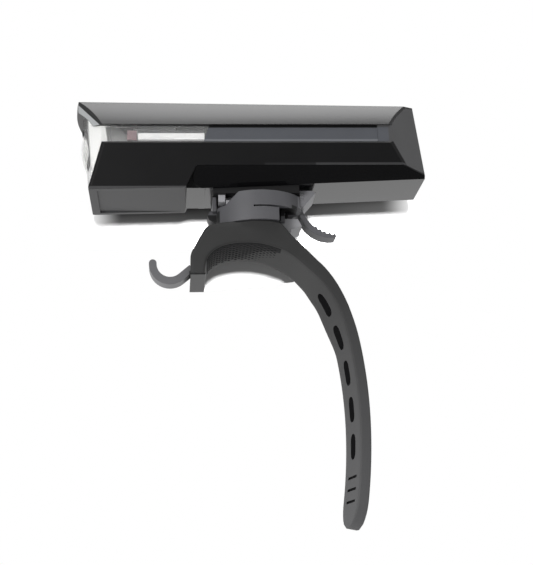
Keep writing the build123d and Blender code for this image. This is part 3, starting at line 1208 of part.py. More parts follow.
def make_base_plate():
    low = SADDLE_TOP - BASE_THICKNESS
    plate = rod(BASE_RADIUS, (0, PIVOT_Y, low), (0, PIVOT_Y, SADDLE_TOP))
    boss = rod(BASE_BOSS_RADIUS, (0, PIVOT_Y, SADDLE_TOP - 0.5), (0, PIVOT_Y, SADDLE_TOP + BASE_BOSS_HEIGHT))
    half = TONGUE_WIDTH / 2
    neck = block((-half, half), (PIVOT_Y, TONGUE_REAR - 3.4), (TONGUE_DROP - 1.0, SADDLE_TOP))
    plate = plate + boss + neck + tongue_block()
    return plate - rod(PIVOT_SCREW_RADIUS + FIT_GAP, (0, PIVOT_Y, 0), (0, PIVOT_Y, FAR))


def make_washer():
    low = SADDLE_TOP + BASE_BOSS_HEIGHT
    ring = rod(WASHER_RADIUS, (0, PIVOT_Y, low), (0, PIVOT_Y, low + WASHER_THICKNESS))
    return ring - rod(PIVOT_SCREW_RADIUS + FIT_GAP, (0, PIVOT_Y, 0), (0, PIVOT_Y, FAR))


def make_pivot_screw():
    top = SADDLE_TOP + BASE_BOSS_HEIGHT + WASHER_THICKNESS
    head = rod(PIVOT_HEAD_RADIUS, (0, PIVOT_Y, top), (0, PIVOT_Y, top + PIVOT_HEAD_HEIGHT))
    shank = rod(PIVOT_SCREW_RADIUS, (0, PIVOT_Y, SADDLE_TOP - BASE_THICKNESS - NUT_THICKNESS + 0.2),
                (0, PIVOT_Y, top + 0.1))
    long, wide, deep = DRIVE_LENGTH / 2, DRIVE_WIDTH / 2, (top + PIVOT_HEAD_HEIGHT / 2, FAR)
    cross = block((-long, long), (PIVOT_Y - wide, PIVOT_Y + wide), deep)
    cross = cross + block((-wide, wide), (PIVOT_Y - long, PIVOT_Y + long), deep)
    return head + shank - cross


def make_pivot_nut():
    top = SADDLE_TOP - BASE_THICKNESS
    hexagon = RegularPolygon(NUT_RADIUS, 6)
    return extrude(Plane((0, PIVOT_Y, top - NUT_THICKNESS)) * hexagon, NUT_THICKNESS)


def make_lever_spring():
    """Two torsion coils round the lever's pin, one each side of its hub, with their fixed legs."""
    coils = []
    for side in (1, -1):
        near = side * (LEVER_HUB_WIDTH / 2 + 0.05)
        far = near + side * SPRING_LENGTH
        coil = rod(SPRING_OUTER_RADIUS, (near, LEVER_PIN_Y, LEVER_PIN_Z), (far, LEVER_PIN_Y, LEVER_PIN_Z))
        leg = block(sorted((far, far - side * SPRING_LEG)), (LEVER_CAVITY_FRONT, LEVER_PIN_Y),
                    (LEVER_PIN_Z + SPRING_OUTER_RADIUS - SPRING_LEG, LEVER_PIN_Z + SPRING_OUTER_RADIUS))
        bore = rod(SPRING_INNER_RADIUS, (near - side, LEVER_PIN_Y, LEVER_PIN_Z),
                   (far + side, LEVER_PIN_Y, LEVER_PIN_Z))
        coils.append(coil + leg - bore)
    return Compound(children=coils)


save("top_shell", make_top_shell())
save("main_housing", make_main_housing())
save("lower_cover", make_lower_cover())
save("rear_cap", make_rear_cap())
save("lens", make_lens())
save("side_strips", make_side_strips())
save("reflector", make_reflector())
save("led_board", make_led_board())
save("led_emitter", make_led_emitter())
save("heat_sink", make_heat_sink())
save("battery_cell", make_battery())
save("cell_cradle", make_cell_holder())
save("main_board", make_main_board())
save("board_spacers", make_board_posts())
save("tact_switch", make_tact_switch())
save("power_button", make_power_button())
save("status_led", make_status_led())
save("indicator_lens", make_indicator_lens())
save("side_light_guides", side_pieces(GUIDE_FRONT, GUIDE_LENGTH))
save("side_leds", side_pieces(SIDE_LED_Y, SIDE_LED_LENGTH))
save("port_board", make_port_board())
save("usb_socket", make_usb_socket())
save("port_cover", make_port_cover())
save("flap_pin", make_flap_pin())
save("cap_screws", make_cap_screws())
save("shoe", make_shoe())
save("shoe_screws", make_shoe_screws())
save("receiver", make_receiver())
save("release_lever", make_release_lever())
save("lever_pin", rod(LEVER_PIN_RADIUS, (-LEVER_PIN_LENGTH / 2, LEVER_PIN_Y, LEVER_PIN_Z),
                      (LEVER_PIN_LENGTH / 2, LEVER_PIN_Y, LEVER_PIN_Z)))
save("lever_spring", make_lever_spring())
save("saddle", make_saddle())
save("strap", make_strap())
save("grip_pad", pad_shape())
save("strap_hook", make_hook())
save("base_plate", make_base_plate())
save("pivot_screw", make_pivot_screw())
save("pivot_washer", make_washer())
pivot_nut = make_pivot_nut() - rod(PIVOT_SCREW_RADIUS, (0, PIVOT_Y, 0), (0, PIVOT_Y, FAR))
save("pivot_nut", pivot_nut)

for name, shape in parts.items():
    export_step(shape, f"parts/{name}.step")
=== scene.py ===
import math

import bmesh
import bpy
from mathutils import Matrix, Vector


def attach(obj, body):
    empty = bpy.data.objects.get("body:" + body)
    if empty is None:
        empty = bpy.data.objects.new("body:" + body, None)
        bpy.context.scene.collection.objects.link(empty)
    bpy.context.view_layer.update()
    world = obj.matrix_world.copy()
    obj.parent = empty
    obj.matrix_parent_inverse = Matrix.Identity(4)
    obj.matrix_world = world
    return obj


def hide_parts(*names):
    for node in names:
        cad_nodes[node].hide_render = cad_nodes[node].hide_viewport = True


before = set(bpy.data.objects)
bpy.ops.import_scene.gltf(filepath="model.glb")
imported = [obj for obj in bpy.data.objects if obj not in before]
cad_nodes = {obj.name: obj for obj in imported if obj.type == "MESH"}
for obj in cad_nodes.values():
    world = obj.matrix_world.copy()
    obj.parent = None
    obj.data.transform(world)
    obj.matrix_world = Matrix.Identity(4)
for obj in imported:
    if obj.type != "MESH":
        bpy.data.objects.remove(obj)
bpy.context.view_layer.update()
MM = 0.001
X, Y, Z = (1, 0, 0), (0, 1, 0), (0, 0, 1)


# Building blocks of the materials

def colour(code):
    """An sRGB hex colour as linear red, green, blue and alpha."""
    parts = [int(code[i:i + 2], 16) / 255 for i in (1, 3, 5)]
    return tuple(c / 12.92 if c <= 0.04045 else ((c + 0.055) / 1.055) ** 2.4 for c in parts) + (1.0,)


def add(tree, kind, links=None, **settings):
    """A node with its settings; links gives each input a value or another node's output."""
    made = tree.nodes.new(kind)
    for name, value in settings.items():
        setattr(made, name, value)
    for name, value in (links or {}).items():
        if isinstance(value, bpy.types.NodeSocket):
            tree.links.new(value, made.inputs[name])
        else:
            made.inputs[name].default_value = value
    return made


def empty_material(name):
    """A material without nodes, and its tree."""
    made = bpy.data.materials.new(name)
    made.use_nodes = True
    made.node_tree.nodes.clear()
    return made, made.node_tree


def finish_surface(tree, shader):
    """Joins a shader to the material's output."""
    add(tree, "ShaderNodeOutputMaterial", {"Surface": shader.outputs[0]})


def grain(tree, grit_mm, depth_mm, edge_mm):
    """Normal of a moulded surface: fine grain on edges softened by a small radius.

    A mould's real grit is 0.05 to 0.1 mm, too fine for the render, so it is drawn a few times as coarse.
    """
    place = add(tree, "ShaderNodeTexCoord")
    pits = add(tree, "ShaderNodeTexNoise", {"Vector": place.outputs["Object"], "Scale": 1000 / grit_mm,
                                            "Detail": 3.0, "Roughness": 0.6})
    soft = add(tree, "ShaderNodeBevel", {"Radius": edge_mm * MM}, samples=6)
    return add(tree, "ShaderNodeBump", {"Height": pits.outputs["Fac"], "Distance": depth_mm * MM,
                                        "Strength": 1.0, "Normal": soft.outputs[0]})


def mottle(tree, dark, light, patch_mm):
    """A colour that drifts a little between two tones, as a mould's flow leaves it."""
    place = add(tree, "ShaderNodeTexCoord")
    drift = add(tree, "ShaderNodeTexNoise", {"Vector": place.outputs["Object"], "Scale": 1000 / patch_mm,
                                             "Detail": 2.0})
    mixed = add(tree, "ShaderNodeMix", {"Factor": drift.outputs["Fac"]}, data_type="RGBA")
    mixed.inputs[6].default_value = colour(dark)
    mixed.inputs[7].default_value = colour(light)
    return mixed.outputs[2]


def within(tree, limits):
    """1 inside all limits, else 0. A limit bounds (|x|, y, z) along an axis, in millimetres."""
    place = add(tree, "ShaderNodeTexCoord")
    axes = add(tree, "ShaderNodeSeparateXYZ", {0: place.outputs["Object"]})
    aside = add(tree, "ShaderNodeMath", {0: axes.outputs["X"]}, operation="ABSOLUTE")
    folded = add(tree, "ShaderNodeCombineXYZ", {"X": aside.outputs[0], "Y": axes.outputs["Y"],
                                                "Z": axes.outputs["Z"]})
    share = None
    for axis, low, high in limits:
        along = add(tree, "ShaderNodeVectorMath", {0: folded.outputs[0], 1: axis}, operation="DOT_PRODUCT")
        inside = add(tree, "ShaderNodeMath", {0: along.outputs["Value"], 1: (low + high) / 2 * MM,
                                              2: (high - low) / 2 * MM}, operation="COMPARE")
        if share:
            inside = add(tree, "ShaderNodeMath", {0: share.outputs[0], 1: inside.outputs[0]},
                         operation="MULTIPLY")
        share = inside
    return share.outputs[0]


def toned(tree, base, share, tone):
    """The base colour, changed to a tone where the share is 1."""
    mixed = add(tree, "ShaderNodeMix", {"Factor": share}, data_type="RGBA")
    tree.links.new(base, mixed.inputs[6])
    mixed.inputs[7].default_value = colour(tone)
    return mixed.outputs[2]


def bloom(tree, base, tone, start, end):
    """The base colour, turning to a tone as the height goes from start to end in millimetres."""
    place = add(tree, "ShaderNodeTexCoord")
    axes = add(tree, "ShaderNodeSeparateXYZ", {0: place.outputs["Object"]})
    share = add(tree, "ShaderNodeMapRange", {"Value": axes.outputs["Z"], "From Min": start * MM,
                                             "From Max": end * MM})
    return toned(tree, base, share.outputs[0], tone)


def moulding(name, dark, light, rough, grit_mm, depth_mm, specular=0.5, edge_mm=0.25, patch_mm=9.0,
             zones=(), fade=None):
    """Moulded plastic or rubber: its tones, its sheen, the grain that the mould left and toned zones."""
    made, tree = empty_material(name)
    base = mottle(tree, dark, light, patch_mm)
    if fade:
        base = bloom(tree, base, *fade)
    for limits, tone in zones:
        base = toned(tree, base, within(tree, limits), tone)
    shader = add(tree, "ShaderNodeBsdfPrincipled", {
        "Base Color": base, "Roughness": rough, "IOR": 1.5,
        "Specular IOR Level": specular, "Normal": grain(tree, grit_mm, depth_mm, edge_mm).outputs[0]})
    finish_surface(tree, shader)
    return made


def metal(name, tone, rough):
    """Plain metal with fine tool marks."""
    made, tree = empty_material(name)
    shader = add(tree, "ShaderNodeBsdfPrincipled", {
        "Base Color": colour(tone), "Metallic": 1.0, "Roughness": rough,
        "Normal": grain(tree, grit_mm=0.2, depth_mm=0.002, edge_mm=0.08).outputs[0]})
    finish_surface(tree, shader)
    return made


def clear_plastic(name, tint, rough, clearness):
    """Clear polycarbonate: its skin reflects, light goes through, and its shadow is as pale as its tint."""
    made, tree = empty_material(name)
    glass = add(tree, "ShaderNodeBsdfPrincipled", {
        "Base Color": colour(tint), "Roughness": rough, "IOR": 1.45, "Transmission Weight": clearness,
        "Specular IOR Level": 0.5})
    through = add(tree, "ShaderNodeBsdfTransparent", {"Color": colour(tint)})
    path = add(tree, "ShaderNodeLightPath")
    mixed = add(tree, "ShaderNodeMixShader", {0: path.outputs["Is Shadow Ray"], 1: glass.outputs[0],
                                              2: through.outputs[0]})
    finish_surface(tree, mixed)
    return made


def painted_glow(name, tone, rough, strength, zones=()):
    """A pale diffuser with a faint painted glow: it emits a little light, though no lamp is inside."""
    made, tree = empty_material(name)
    base = add(tree, "ShaderNodeRGB")
    base.outputs[0].default_value = colour(tone)
    base = base.outputs[0]
    for limits, zone_tone in zones:
        base = toned(tree, base, within(tree, limits), zone_tone)
    shader = add(tree, "ShaderNodeBsdfPrincipled", {
        "Base Color": base, "Roughness": rough, "Emission Color": base, "Emission Strength": strength,
        "Normal": grain(tree, grit_mm=0.5, depth_mm=0.004, edge_mm=0.15).outputs[0]})
    finish_surface(tree, shader)
    return made


# Materials: what each is made of and how, then what that gives the eye

# ABS from an etched tool: a soft sheen, so the slanted band runs from pale to dark.
# The lens's pale flange covers the shell's slanted front up to a narrow dark border below that band.
FLANGE = [((-1.70, 1, 0.063), -70.27, -69.97), ((0.906, 0, 0.423), 0.0, 36.33)]
satin_abs = moulding("top_shell_satin_abs", "#1b1b1c", "#202021", rough=0.32, grit_mm=0.35,
                     depth_mm=0.004, zones=[(FLANGE, "#8f9192")])

# ABS from a spark-eroded tool: near black and dull. The underside of the front block is paler, a painted
# reflection, and the ridge over the lower facet has a painted highlight, a thin line of light.
UNDERSIDE_REFLECTION = [(Z, 30.0, 33.4)]
RIDGE_HIGHLIGHT_FRONT = [(Y, 4.0, 60.0), (Z, 39.6, 40.4)]
RIDGE_HIGHLIGHT_REAR = [(Y, 20.0, 60.0), (Z, 39.6, 40.4)]
textured_abs = moulding("housing_textured_abs", "#0b0b0c", "#101011", rough=0.46, grit_mm=0.22,
                        depth_mm=0.010, specular=0.20,
                        zones=[(UNDERSIDE_REFLECTION, "#3b3b3c"), (RIDGE_HIGHLIGHT_FRONT, "#1d1d1e"), (RIDGE_HIGHLIGHT_REAR, "#333334")])

# ABS from a polished tool: black by itself, and its grey is the room that it mirrors
polished_abs = moulding("cover_polished_abs", "#060607", "#09090a", rough=0.16, grit_mm=0.8,
                        depth_mm=0.001, specular=0.40)

# Satin ABS: an even dark grey. The lip carries on the blue grey of the strip that ends before it.
CAP_LIP = [(X, 15.0, 17.0), (Y, 39.0, 43.2), (Z, 47.1, 51.9)]
cap_abs = moulding("rear_cap_satin_abs", "#3c3c3d", "#434344", rough=0.36, grit_mm=0.3, depth_mm=0.006,
                   zones=[(CAP_LIP, "#45474c")])

# Blue-grey ABS: a flat satin band with a painted highlight along its lower edge and painted shade in the gap
# along its top
strip_abs = moulding("strip_blue_grey_abs", "#414348", "#47494e", rough=0.50, grit_mm=0.30,
                     depth_mm=0.006, specular=0.35,
                     zones=[([(Z, 46.9, 47.9)], "#5e6064"), ([(Z, 51.7, 53.0)], "#0a0a0b")])

# Silicone rubber: matt and soft in its edges; its paler tone towards the strap's end is painted light
silicone = moulding("bracket_silicone_rubber", "#292929", "#323232", rough=0.60, grit_mm=0.30,
                    depth_mm=0.012, specular=0.20, patch_mm=14.0, fade=("#4c4c4d", 10.0, -70.0))

# The same rubber inside the slots and grooves, painted darker as shade, since hardly any light gets in
slot_shade_silicone = moulding("slot_silicone_rubber", "#141415", "#19191a", rough=0.75, grit_mm=0.30,
                         depth_mm=0.006, specular=0.05)

# Rubber moulded in a weave: darker than the saddle, so its bumps show by their edges
pad_rubber = moulding("pad_woven_rubber", "#161617", "#1f1f20", rough=0.60, grit_mm=0.25, depth_mm=0.010,
                      specular=0.12)

# Glass-filled nylon: a broad, dull sheen on a grey that the fibres make uneven
nylon = moulding("bracket_glass_filled_nylon", "#525255", "#5f5f62", rough=0.50, grit_mm=0.30,
                 depth_mm=0.018, specular=0.45)

# The same nylon on the turntable, a little darker as painted shade. Painted shade makes it almost black in
# the lever's cavity and at the front lug, and painted light makes the ribbed stop at the rear pale
CAVITY_SHADE = [(X, -1.0, 10.5), (Y, 6.5, 14.2), (Z, 24.9, 28.0)]
FRONT_LUG_SHADE = [(X, -1.0, 9.0), (Y, -14.5, -10.0), (Z, 22.0, 27.0)]
RIBBED_STOP_LIGHT = [(Y, 14.6, 22.0), (Z, 28.0, 34.0)]
turntable_nylon = moulding("turntable_glass_filled_nylon", "#444447", "#505053", rough=0.50, grit_mm=0.30,
                           depth_mm=0.018, specular=0.45,
                           zones=[(CAVITY_SHADE, "#060607"), (FRONT_LUG_SHADE, "#101011"), (RIBBED_STOP_LIGHT, "#6f6f72")])

# The same nylon on the shoe, paler as painted light, with painted shade darkening the front plate's back,
# and black where it meets the housing
shoe_nylon = moulding("shoe_glass_filled_nylon", "#88888b", "#949497", rough=0.50, grit_mm=0.30,
                      depth_mm=0.018, specular=0.45,
                      zones=[([(Y, -12.6, -10.4)], "#4c4c4f"), ([(Z, 31.8, 40.0)], "#050506")])

# The same nylon on the base plate, paler as painted light, so its tongue is a pale patch under the turntable
plate_nylon = moulding("base_plate_glass_filled_nylon", "#8a8a8d", "#949497", rough=0.50, grit_mm=0.30,
                       depth_mm=0.018, specular=0.45)

# Plain nylon: smoother than the filled one, with a slight gleam round the hook, and a dark foot
FOOT = [(Y, -19.6, -8.0), (Z, -4.0, 9.0)]
hook_nylon = moulding("hook_nylon", "#58585a", "#646466", rough=0.42, grit_mm=0.35, depth_mm=0.010,
                      specular=0.3, zones=[(FOOT, "#161617")])

# Moulded rubber of the button and the flap: duller than the shells round them
button_rubber = moulding("button_rubber", "#1d1d1e", "#232324", rough=0.60, grit_mm=0.25, depth_mm=0.010,
                         specular=0.3)
flap_rubber = moulding("flap_rubber", "#1a1a1b", "#202021", rough=0.65, grit_mm=0.25, depth_mm=0.010,
                       specular=0.3)

# White ABS of the reflector: bright and smooth, which makes the lens look full of light
white_abs = moulding("reflector_white_abs", "#e4e4e2", "#ececea", rough=0.25, grit_mm=0.8, depth_mm=0.002)

# Black nylon, shrink sleeve and solder mask: the plain insides, dull to slightly glossy
dark_nylon = moulding("cradle_black_nylon", "#1c1c1d", "#222223", rough=0.60, grit_mm=0.3, depth_mm=0.010)
cell_sleeve = moulding("cell_shrink_sleeve", "#274f86", "#2b5590", rough=0.30, grit_mm=1.5,
                       depth_mm=0.004)
board_mask = moulding("board_green_solder_mask", "#0d3f22", "#114a29", rough=0.35, grit_mm=1.2,
                      depth_mm=0.004)

# Milky polycarbonate: an even white bar with a faint painted glow, and painted shade along its top where the
# shell shades it
milky = painted_glow("light_guide_milky_polycarbonate", "#e4e4e3", rough=0.35, strength=0.30,
                zones=[([(Z, 50.3, 56.0)], "#3c3d3e")])

# Tinted or filled resin of the light emitters: a flat tone without depth, with a faint painted glow
red_tint = painted_glow("side_led_red_tinted_lens", "#7c5f63", rough=0.30, strength=0.05)
pale_led = painted_glow("status_led_diffuser", "#e8e8e2", rough=0.40, strength=0.15)
phosphor = painted_glow("emitter_phosphor", "#e6d36a", rough=0.35, strength=0.10)

# Clear polycarbonate from a polished tool, and the same with a frosted face
clear = clear_plastic("lens_clear_polycarbonate", "#e2e2e2", rough=0.03, clearness=0.94)
frosted = clear_plastic("indicator_frosted_polycarbonate", "#e9eef0", rough=0.35, clearness=0.9)

# Metals as they come from plating, drawing, extruding and turning: grey or gold with a soft glint
steel = metal("screw_zinc_plated_steel", "#a9abad", rough=0.32)
spring_steel = metal("spring_steel_wire", "#9a9ca0", rough=0.28)
aluminium = metal("heat_sink_extruded_aluminium", "#c6c8ca", rough=0.38)
brass = metal("spacer_turned_brass", "#c9a763", rough=0.30)

FINISHES = {
    "top_shell": satin_abs, "main_housing": textured_abs, "lower_cover": polished_abs,
    "rear_cap": cap_abs, "lens": clear, "side_strips": strip_abs, "reflector": white_abs,
    "led_board": white_abs, "led_emitter": phosphor, "heat_sink": aluminium,
    "battery_cell": cell_sleeve, "cell_cradle": dark_nylon, "main_board": board_mask,
    "board_spacers": brass, "tact_switch": steel, "power_button": button_rubber,
    "status_led": pale_led, "indicator_lens": frosted, "side_light_guides": milky,
    "side_leds": red_tint, "port_board": board_mask, "usb_socket": steel,
    "port_cover": flap_rubber, "flap_pin": steel, "cap_screws": steel, "shoe": shoe_nylon,
    "shoe_screws": steel, "receiver": turntable_nylon, "release_lever": nylon, "lever_pin": steel,
    "lever_spring": spring_steel, "grip_pad": pad_rubber, "strap_hook": hook_nylon,
    "base_plate": plate_nylon, "pivot_screw": steel, "pivot_washer": steel, "pivot_nut": steel,
    "saddle": silicone, "strap": silicone,
}
for name, finish in FINISHES.items():
    cad_nodes[name].data.materials.clear()
    cad_nodes[name].data.materials.append(finish)


# Building blocks of the shapes, in millimetres

def mesh_object(name, bm):
    """A new object at the origin from mesh data in millimetres."""
    bmesh.ops.scale(bm, vec=(MM, MM, MM), verts=bm.verts)
    mesh = bpy.data.meshes.new(name)
    bm.to_mesh(mesh)
    bm.free()
    made = bpy.data.objects.new(name, mesh)
    bpy.context.scene.collection.objects.link(made)
    return made


def cad_mesh(node):
    """A CAD piece's mesh in millimetres."""
    bm = bmesh.new()
    bm.from_mesh(cad_nodes[node].data)
    bm.transform(Matrix.Scale(1 / MM, 4) @ cad_nodes[node].matrix_world)
    return bm


def skin(bm, rings):
    """Closed tube through rings of the same number of points, capped at both ends."""
    verts = [[bm.verts.new(p) for p in ring] for ring in rings]
    count = len(rings[0])
    for a, b in zip(verts, verts[1:]):
        for i in range(count):
            j = (i + 1) % count
            bm.faces.new((a[i], a[j], b[j], b[i]))
    bm.faces.new(list(reversed(verts[0])))
    bm.faces.new(verts[-1])
    own = {v for ring in verts for v in ring}
    bmesh.ops.recalc_face_normals(bm, faces=[f for f in bm.faces if f.verts[0] in own])


def block(bm, low, high):
    """A plain six-sided cutter between two corners."""
    rings = [[(low[0], low[1], z), (high[0], low[1], z), (high[0], high[1], z), (low[0], high[1], z)]
             for z in (low[2], high[2])]
    skin(bm, rings)


def rounded_bar(bm, place, width, length, height, corner, parts=6):
    """A bar with a round-cornered outline, for cutting a slot or groove."""
    outline = []
    for cx, cy, start in ((1, 1, 0), (-1, 1, 90), (-1, -1, 180), (1, -1, 270)):
        for i in range(parts + 1):
            a = math.radians(start + 90 / parts * i)
            outline.append((cx * (width / 2 - corner) + corner * math.cos(a),
                            cy * (length / 2 - corner) + corner * math.sin(a)))
    rings = [[tuple(place @ Vector((x, y, z))) for x, y in outline] for z in (-height / 2, height / 2)]
    skin(bm, rings)


def apply_modifiers(obj):
    """Turns a piece and its modifiers into a plain mesh."""
    depsgraph = bpy.context.evaluated_depsgraph_get()
    plain = bpy.data.meshes.new_from_object(obj.evaluated_get(depsgraph))
    obj.modifiers.clear()
    obj.data = plain


def cut(target, cutter):
    """Takes the cutter's shape out of the target and removes the cutter."""
    step = target.modifiers.new("cut", "BOOLEAN")
    step.operation = "DIFFERENCE"
    step.object = cutter
    step.solver = "EXACT"
    step.material_mode = "TRANSFER"
    apply_modifiers(target)
    bpy.data.objects.remove(cutter)


def smooth(obj, angle=40):
    """Smooths a piece below an angle."""
    for face in obj.data.polygons:
        face.use_smooth = True
    obj.data.set_sharp_from_angle(angle=math.radians(angle))


def shade(obj, finish, angle=40):
    """Gives a piece its finish and smooths it below an angle."""
    obj.data.materials.clear()
    obj.data.materials.append(finish)
    smooth(obj, angle)


def ease(value, start, end):
    """0 before the start, 1 after the end and a smooth rise between."""
    share = min(1.0, max(0.0, (value - start) / (end - start)))
    return share * share * (3 - 2 * share)


# Lower cover: the CAD piece, with a lip that carries it forward to the front block
LIP_FRONT, LIP_REAR = -20.5, -14.5
LIP_TOP_HALF, LIP_TOP = 14.5, 39.6
LIP_BOTTOM_HALF, LIP_BOTTOM = 10.36, 33.66


def lower_cover_with_front_lip():
    """The cover's mesh with a plain slanted block in front of it."""
    bm = cad_mesh("lower_cover")
    outline = [(-LIP_TOP_HALF, LIP_TOP), (-LIP_BOTTOM_HALF, LIP_BOTTOM),
               (LIP_BOTTOM_HALF, LIP_BOTTOM), (LIP_TOP_HALF, LIP_TOP)]
    skin(bm, [[(x, y, z) for x, z in outline] for y in (LIP_FRONT, LIP_REAR)])
    cover = mesh_object("lower_cover_with_front_lip", bm)
    shade(cover, polished_abs)
    return cover


cover = lower_cover_with_front_lip()
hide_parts("lower_cover")
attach(cover, "light")


# Hook: the CAD piece, whose foot ends just below the rubber leg, as in the photograph
FOOT_END = 5.6
FOOT_CUT_LOW, FOOT_CUT_HIGH = (-12, -20.5, -2), (12, -10, FOOT_END)


def strap_hook_with_short_foot():
    """The hook's mesh, welded and cut off below its foot."""
    bm = cad_mesh("strap_hook")
    bmesh.ops.remove_doubles(bm, verts=bm.verts, dist=0.001)
    hook = mesh_object("strap_hook_with_short_foot", bm)
    cutter = bmesh.new()
    block(cutter, FOOT_CUT_LOW, FOOT_CUT_HIGH)
    cut(hook, mesh_object("foot_end", cutter))
    shade(hook, hook_nylon, 25)
    return hook


hook = strap_hook_with_short_foot()
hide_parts("strap_hook")
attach(hook, "bracket_base")


# Saddle and strap: one piece of rubber, as it lies relaxed in the photograph.
# Each station of its side view joins a point of the seat to a point of the back, with half the back's width.
SADDLE_STATIONS = [
    ((-15.0, 6.15), (-19.4, 6.15), 11.0), ((-14.8, 8.6), (-19.4, 9.2), 11.0),
    ((-14.0, 11.2), (-19.2, 12.3), 11.0), ((-12.3, 13.2), (-17.6, 15.6), 11.0),
    ((-10.2, 14.5), (-15.9, 18.6), 11.0), ((-7.8, 15.3), (-13.9, 21.2), 11.0),
    ((-5.0, 15.8), (-9.6, 22.2), 11.4), ((-2.0, 15.95), (-4.4, 22.2), 12.4),
    ((1.0, 15.8), (0.4, 22.2), 13.8), ((4.0, 15.3), (5.0, 22.2), 13.5),
    ((6.9, 14.4), (8.8, 21.5), 12.3), ((9.7, 13.3), (12.0, 18.2), 11.2),
    ((12.3, 11.7), (15.0, 15.3), 10.7), ((14.6, 9.9), (17.5, 12.8), 10.4),
]
STATION_PARTS = 4             # sections from one station to the next
SEAT_HALF = 11.0              # half the seat's width along the bar
SADDLE_EDGE_RADIUS = 0.7
STRAP_HALF, STRAP_THICK, TIP_RADIUS = 9.0, 3.4, 8.2
STRAP_EDGE_RADIUS = 0.45
TIP_FLAT = math.sqrt(0.6)     # half the short straight end of the tip
STRAP_ROOT, STRAP_HEADING = (15.345, 8.665), -35.0
STRAP_BENDS = [(19.0, -41.0), (34.0, -14.0), (31.0, -11.0)]   # length of each bend and its turn in degrees
STRAP_LENGTH = sum(length for length, turn in STRAP_BENDS)
STRAP_START = 2.6             # first section of the strap after the saddle's last one
SECTION_STEP = 1.5            # between the strap's sections, at most about this

# The strap's root is wider and thicker than the rest, over these stretches of its length
ROOT_SPREAD, SPREAD_SPAN = 1.3, (2, 20)
ROOT_SWELL, SWELL_SPAN = 0.6, (2, 16)

# The twist: the near edge stands out, and the far edge lies further in, over these stretches
EDGE_OUT, OUT_SPAN = 1.15, (4, 26)
SEAT_EDGE_IN, ROOT_EDGE_IN, SEAT_SPAN = 0.3, 1.1, (-3, 15)
FAR_EDGE_IN, IN_SPAN, BACK_SPAN = 2.1, (1, 9), (15, 30)

# Oval holes for the hook, and short grooves near the tip for the fingers
SLOT_FIRST, SLOT_PITCH, SLOT_COUNT = 13.2, 11.5, 5
SLOT_SIZE = (5.4, 7.8, 12.0, 2.2)        # across, along, through and corner radius
GROOVE_FIRST, GROOVE_PITCH, GROOVE_COUNT = 9.4, 3.7, 3
GROOVE_SIZE = (10.0, 0.8, 1.2, 0.35)


def rounded_section(inner_half, outer_half, height, radius, flat_parts=4, side_parts=5, corner_parts=4):
    """Points (x, share of height) round a soft-edged section, from the middle of its inner face."""
    r = min(radius, height * 0.45)
    right = []
    for i in range(flat_parts):
        right.append(((inner_half - r) * i / flat_parts, 0.0))
    for i in range(corner_parts + 1):
        a = math.pi / 2 * i / corner_parts
        right.append((inner_half - r + r * math.sin(a), r - r * math.cos(a)))
    for i in range(1, side_parts):
        h = r + (height - 2 * r) * i / side_parts
        share = (h / height) ** 2
        right.append((inner_half + (outer_half - inner_half) * share, h))
    for i in range(corner_parts + 1):
        a = math.pi / 2 * i / corner_parts
        right.append((outer_half - r + r * math.cos(a), height - r + r * math.sin(a)))
    for i in range(1, flat_parts + 1):
        right.append(((outer_half - r) * (flat_parts - i) / flat_parts, height))
    left = [(-x, h) for x, h in reversed(right[1:-1])]
    return [(x, h / height) for x, h in right + left]


def smooth_between(stations, parts):
    """Catmull-Rom points through the stations, so that the rubber has no kinks."""
    made = []
    last = len(stations) - 1
    for i in range(last):
        p = [stations[min(max(k, 0), last)] for k in (i - 1, i, i + 1, i + 2)]
        flat = [[q[0][0], q[0][1], q[1][0], q[1][1], q[2]] for q in p]
        for s in range(parts):
            t = s / parts
            row = [0.5 * (2 * b + (c - a) * t + (2 * a - 5 * b + 4 * c - d) * t * t
                          + (3 * b - a - 3 * c + d) * t ** 3) for a, b, c, d in zip(*flat)]
            made.append(((row[0], row[1]), (row[2], row[3]), row[4]))
    made.append(stations[-1])
    return made


def strap_at(distance):
    """Point and heading in degrees on the strap's inner face."""
    (y, z), heading = STRAP_ROOT, STRAP_HEADING
    for length, turn in STRAP_BENDS:
        step = min(distance, length)
        radius = length / math.radians(turn)
        a0 = math.radians(heading)
        a1 = a0 + step / radius
        y += radius * (math.sin(a1) - math.sin(a0))
        z += radius * (math.cos(a0) - math.cos(a1))
        heading = math.degrees(a1)
        distance -= step
        if distance <= 0:
            break
    return y, z, heading


def strap_frame(distance):
    """Matrix on the strap's inner face: x across it, y along it, z out of its back, with its slight twist."""
    y, z, heading = strap_at(distance)
    a = math.radians(heading)
    along = Vector((0, math.cos(a), math.sin(a)))
    out = Vector((0, -math.sin(a), math.cos(a)))
    near = EDGE_OUT * ease(distance, *OUT_SPAN)
    inward = ROOT_EDGE_IN + (FAR_EDGE_IN - ROOT_EDGE_IN) * ease(distance, *IN_SPAN)
    far = -near - inward * (1 - ease(distance, *BACK_SPAN))
    twist = math.asin((near - far) / (2 * STRAP_HALF))
    across = Vector((math.cos(twist), 0, 0)) + out * math.sin(twist)
    back = out * math.cos(twist) - Vector((math.sin(twist), 0, 0))
    place = Vector((0, y, z)) + out * (near + far) / 2
    return Matrix.Translation(place) @ Matrix((across, along, back)).transposed().to_4x4()


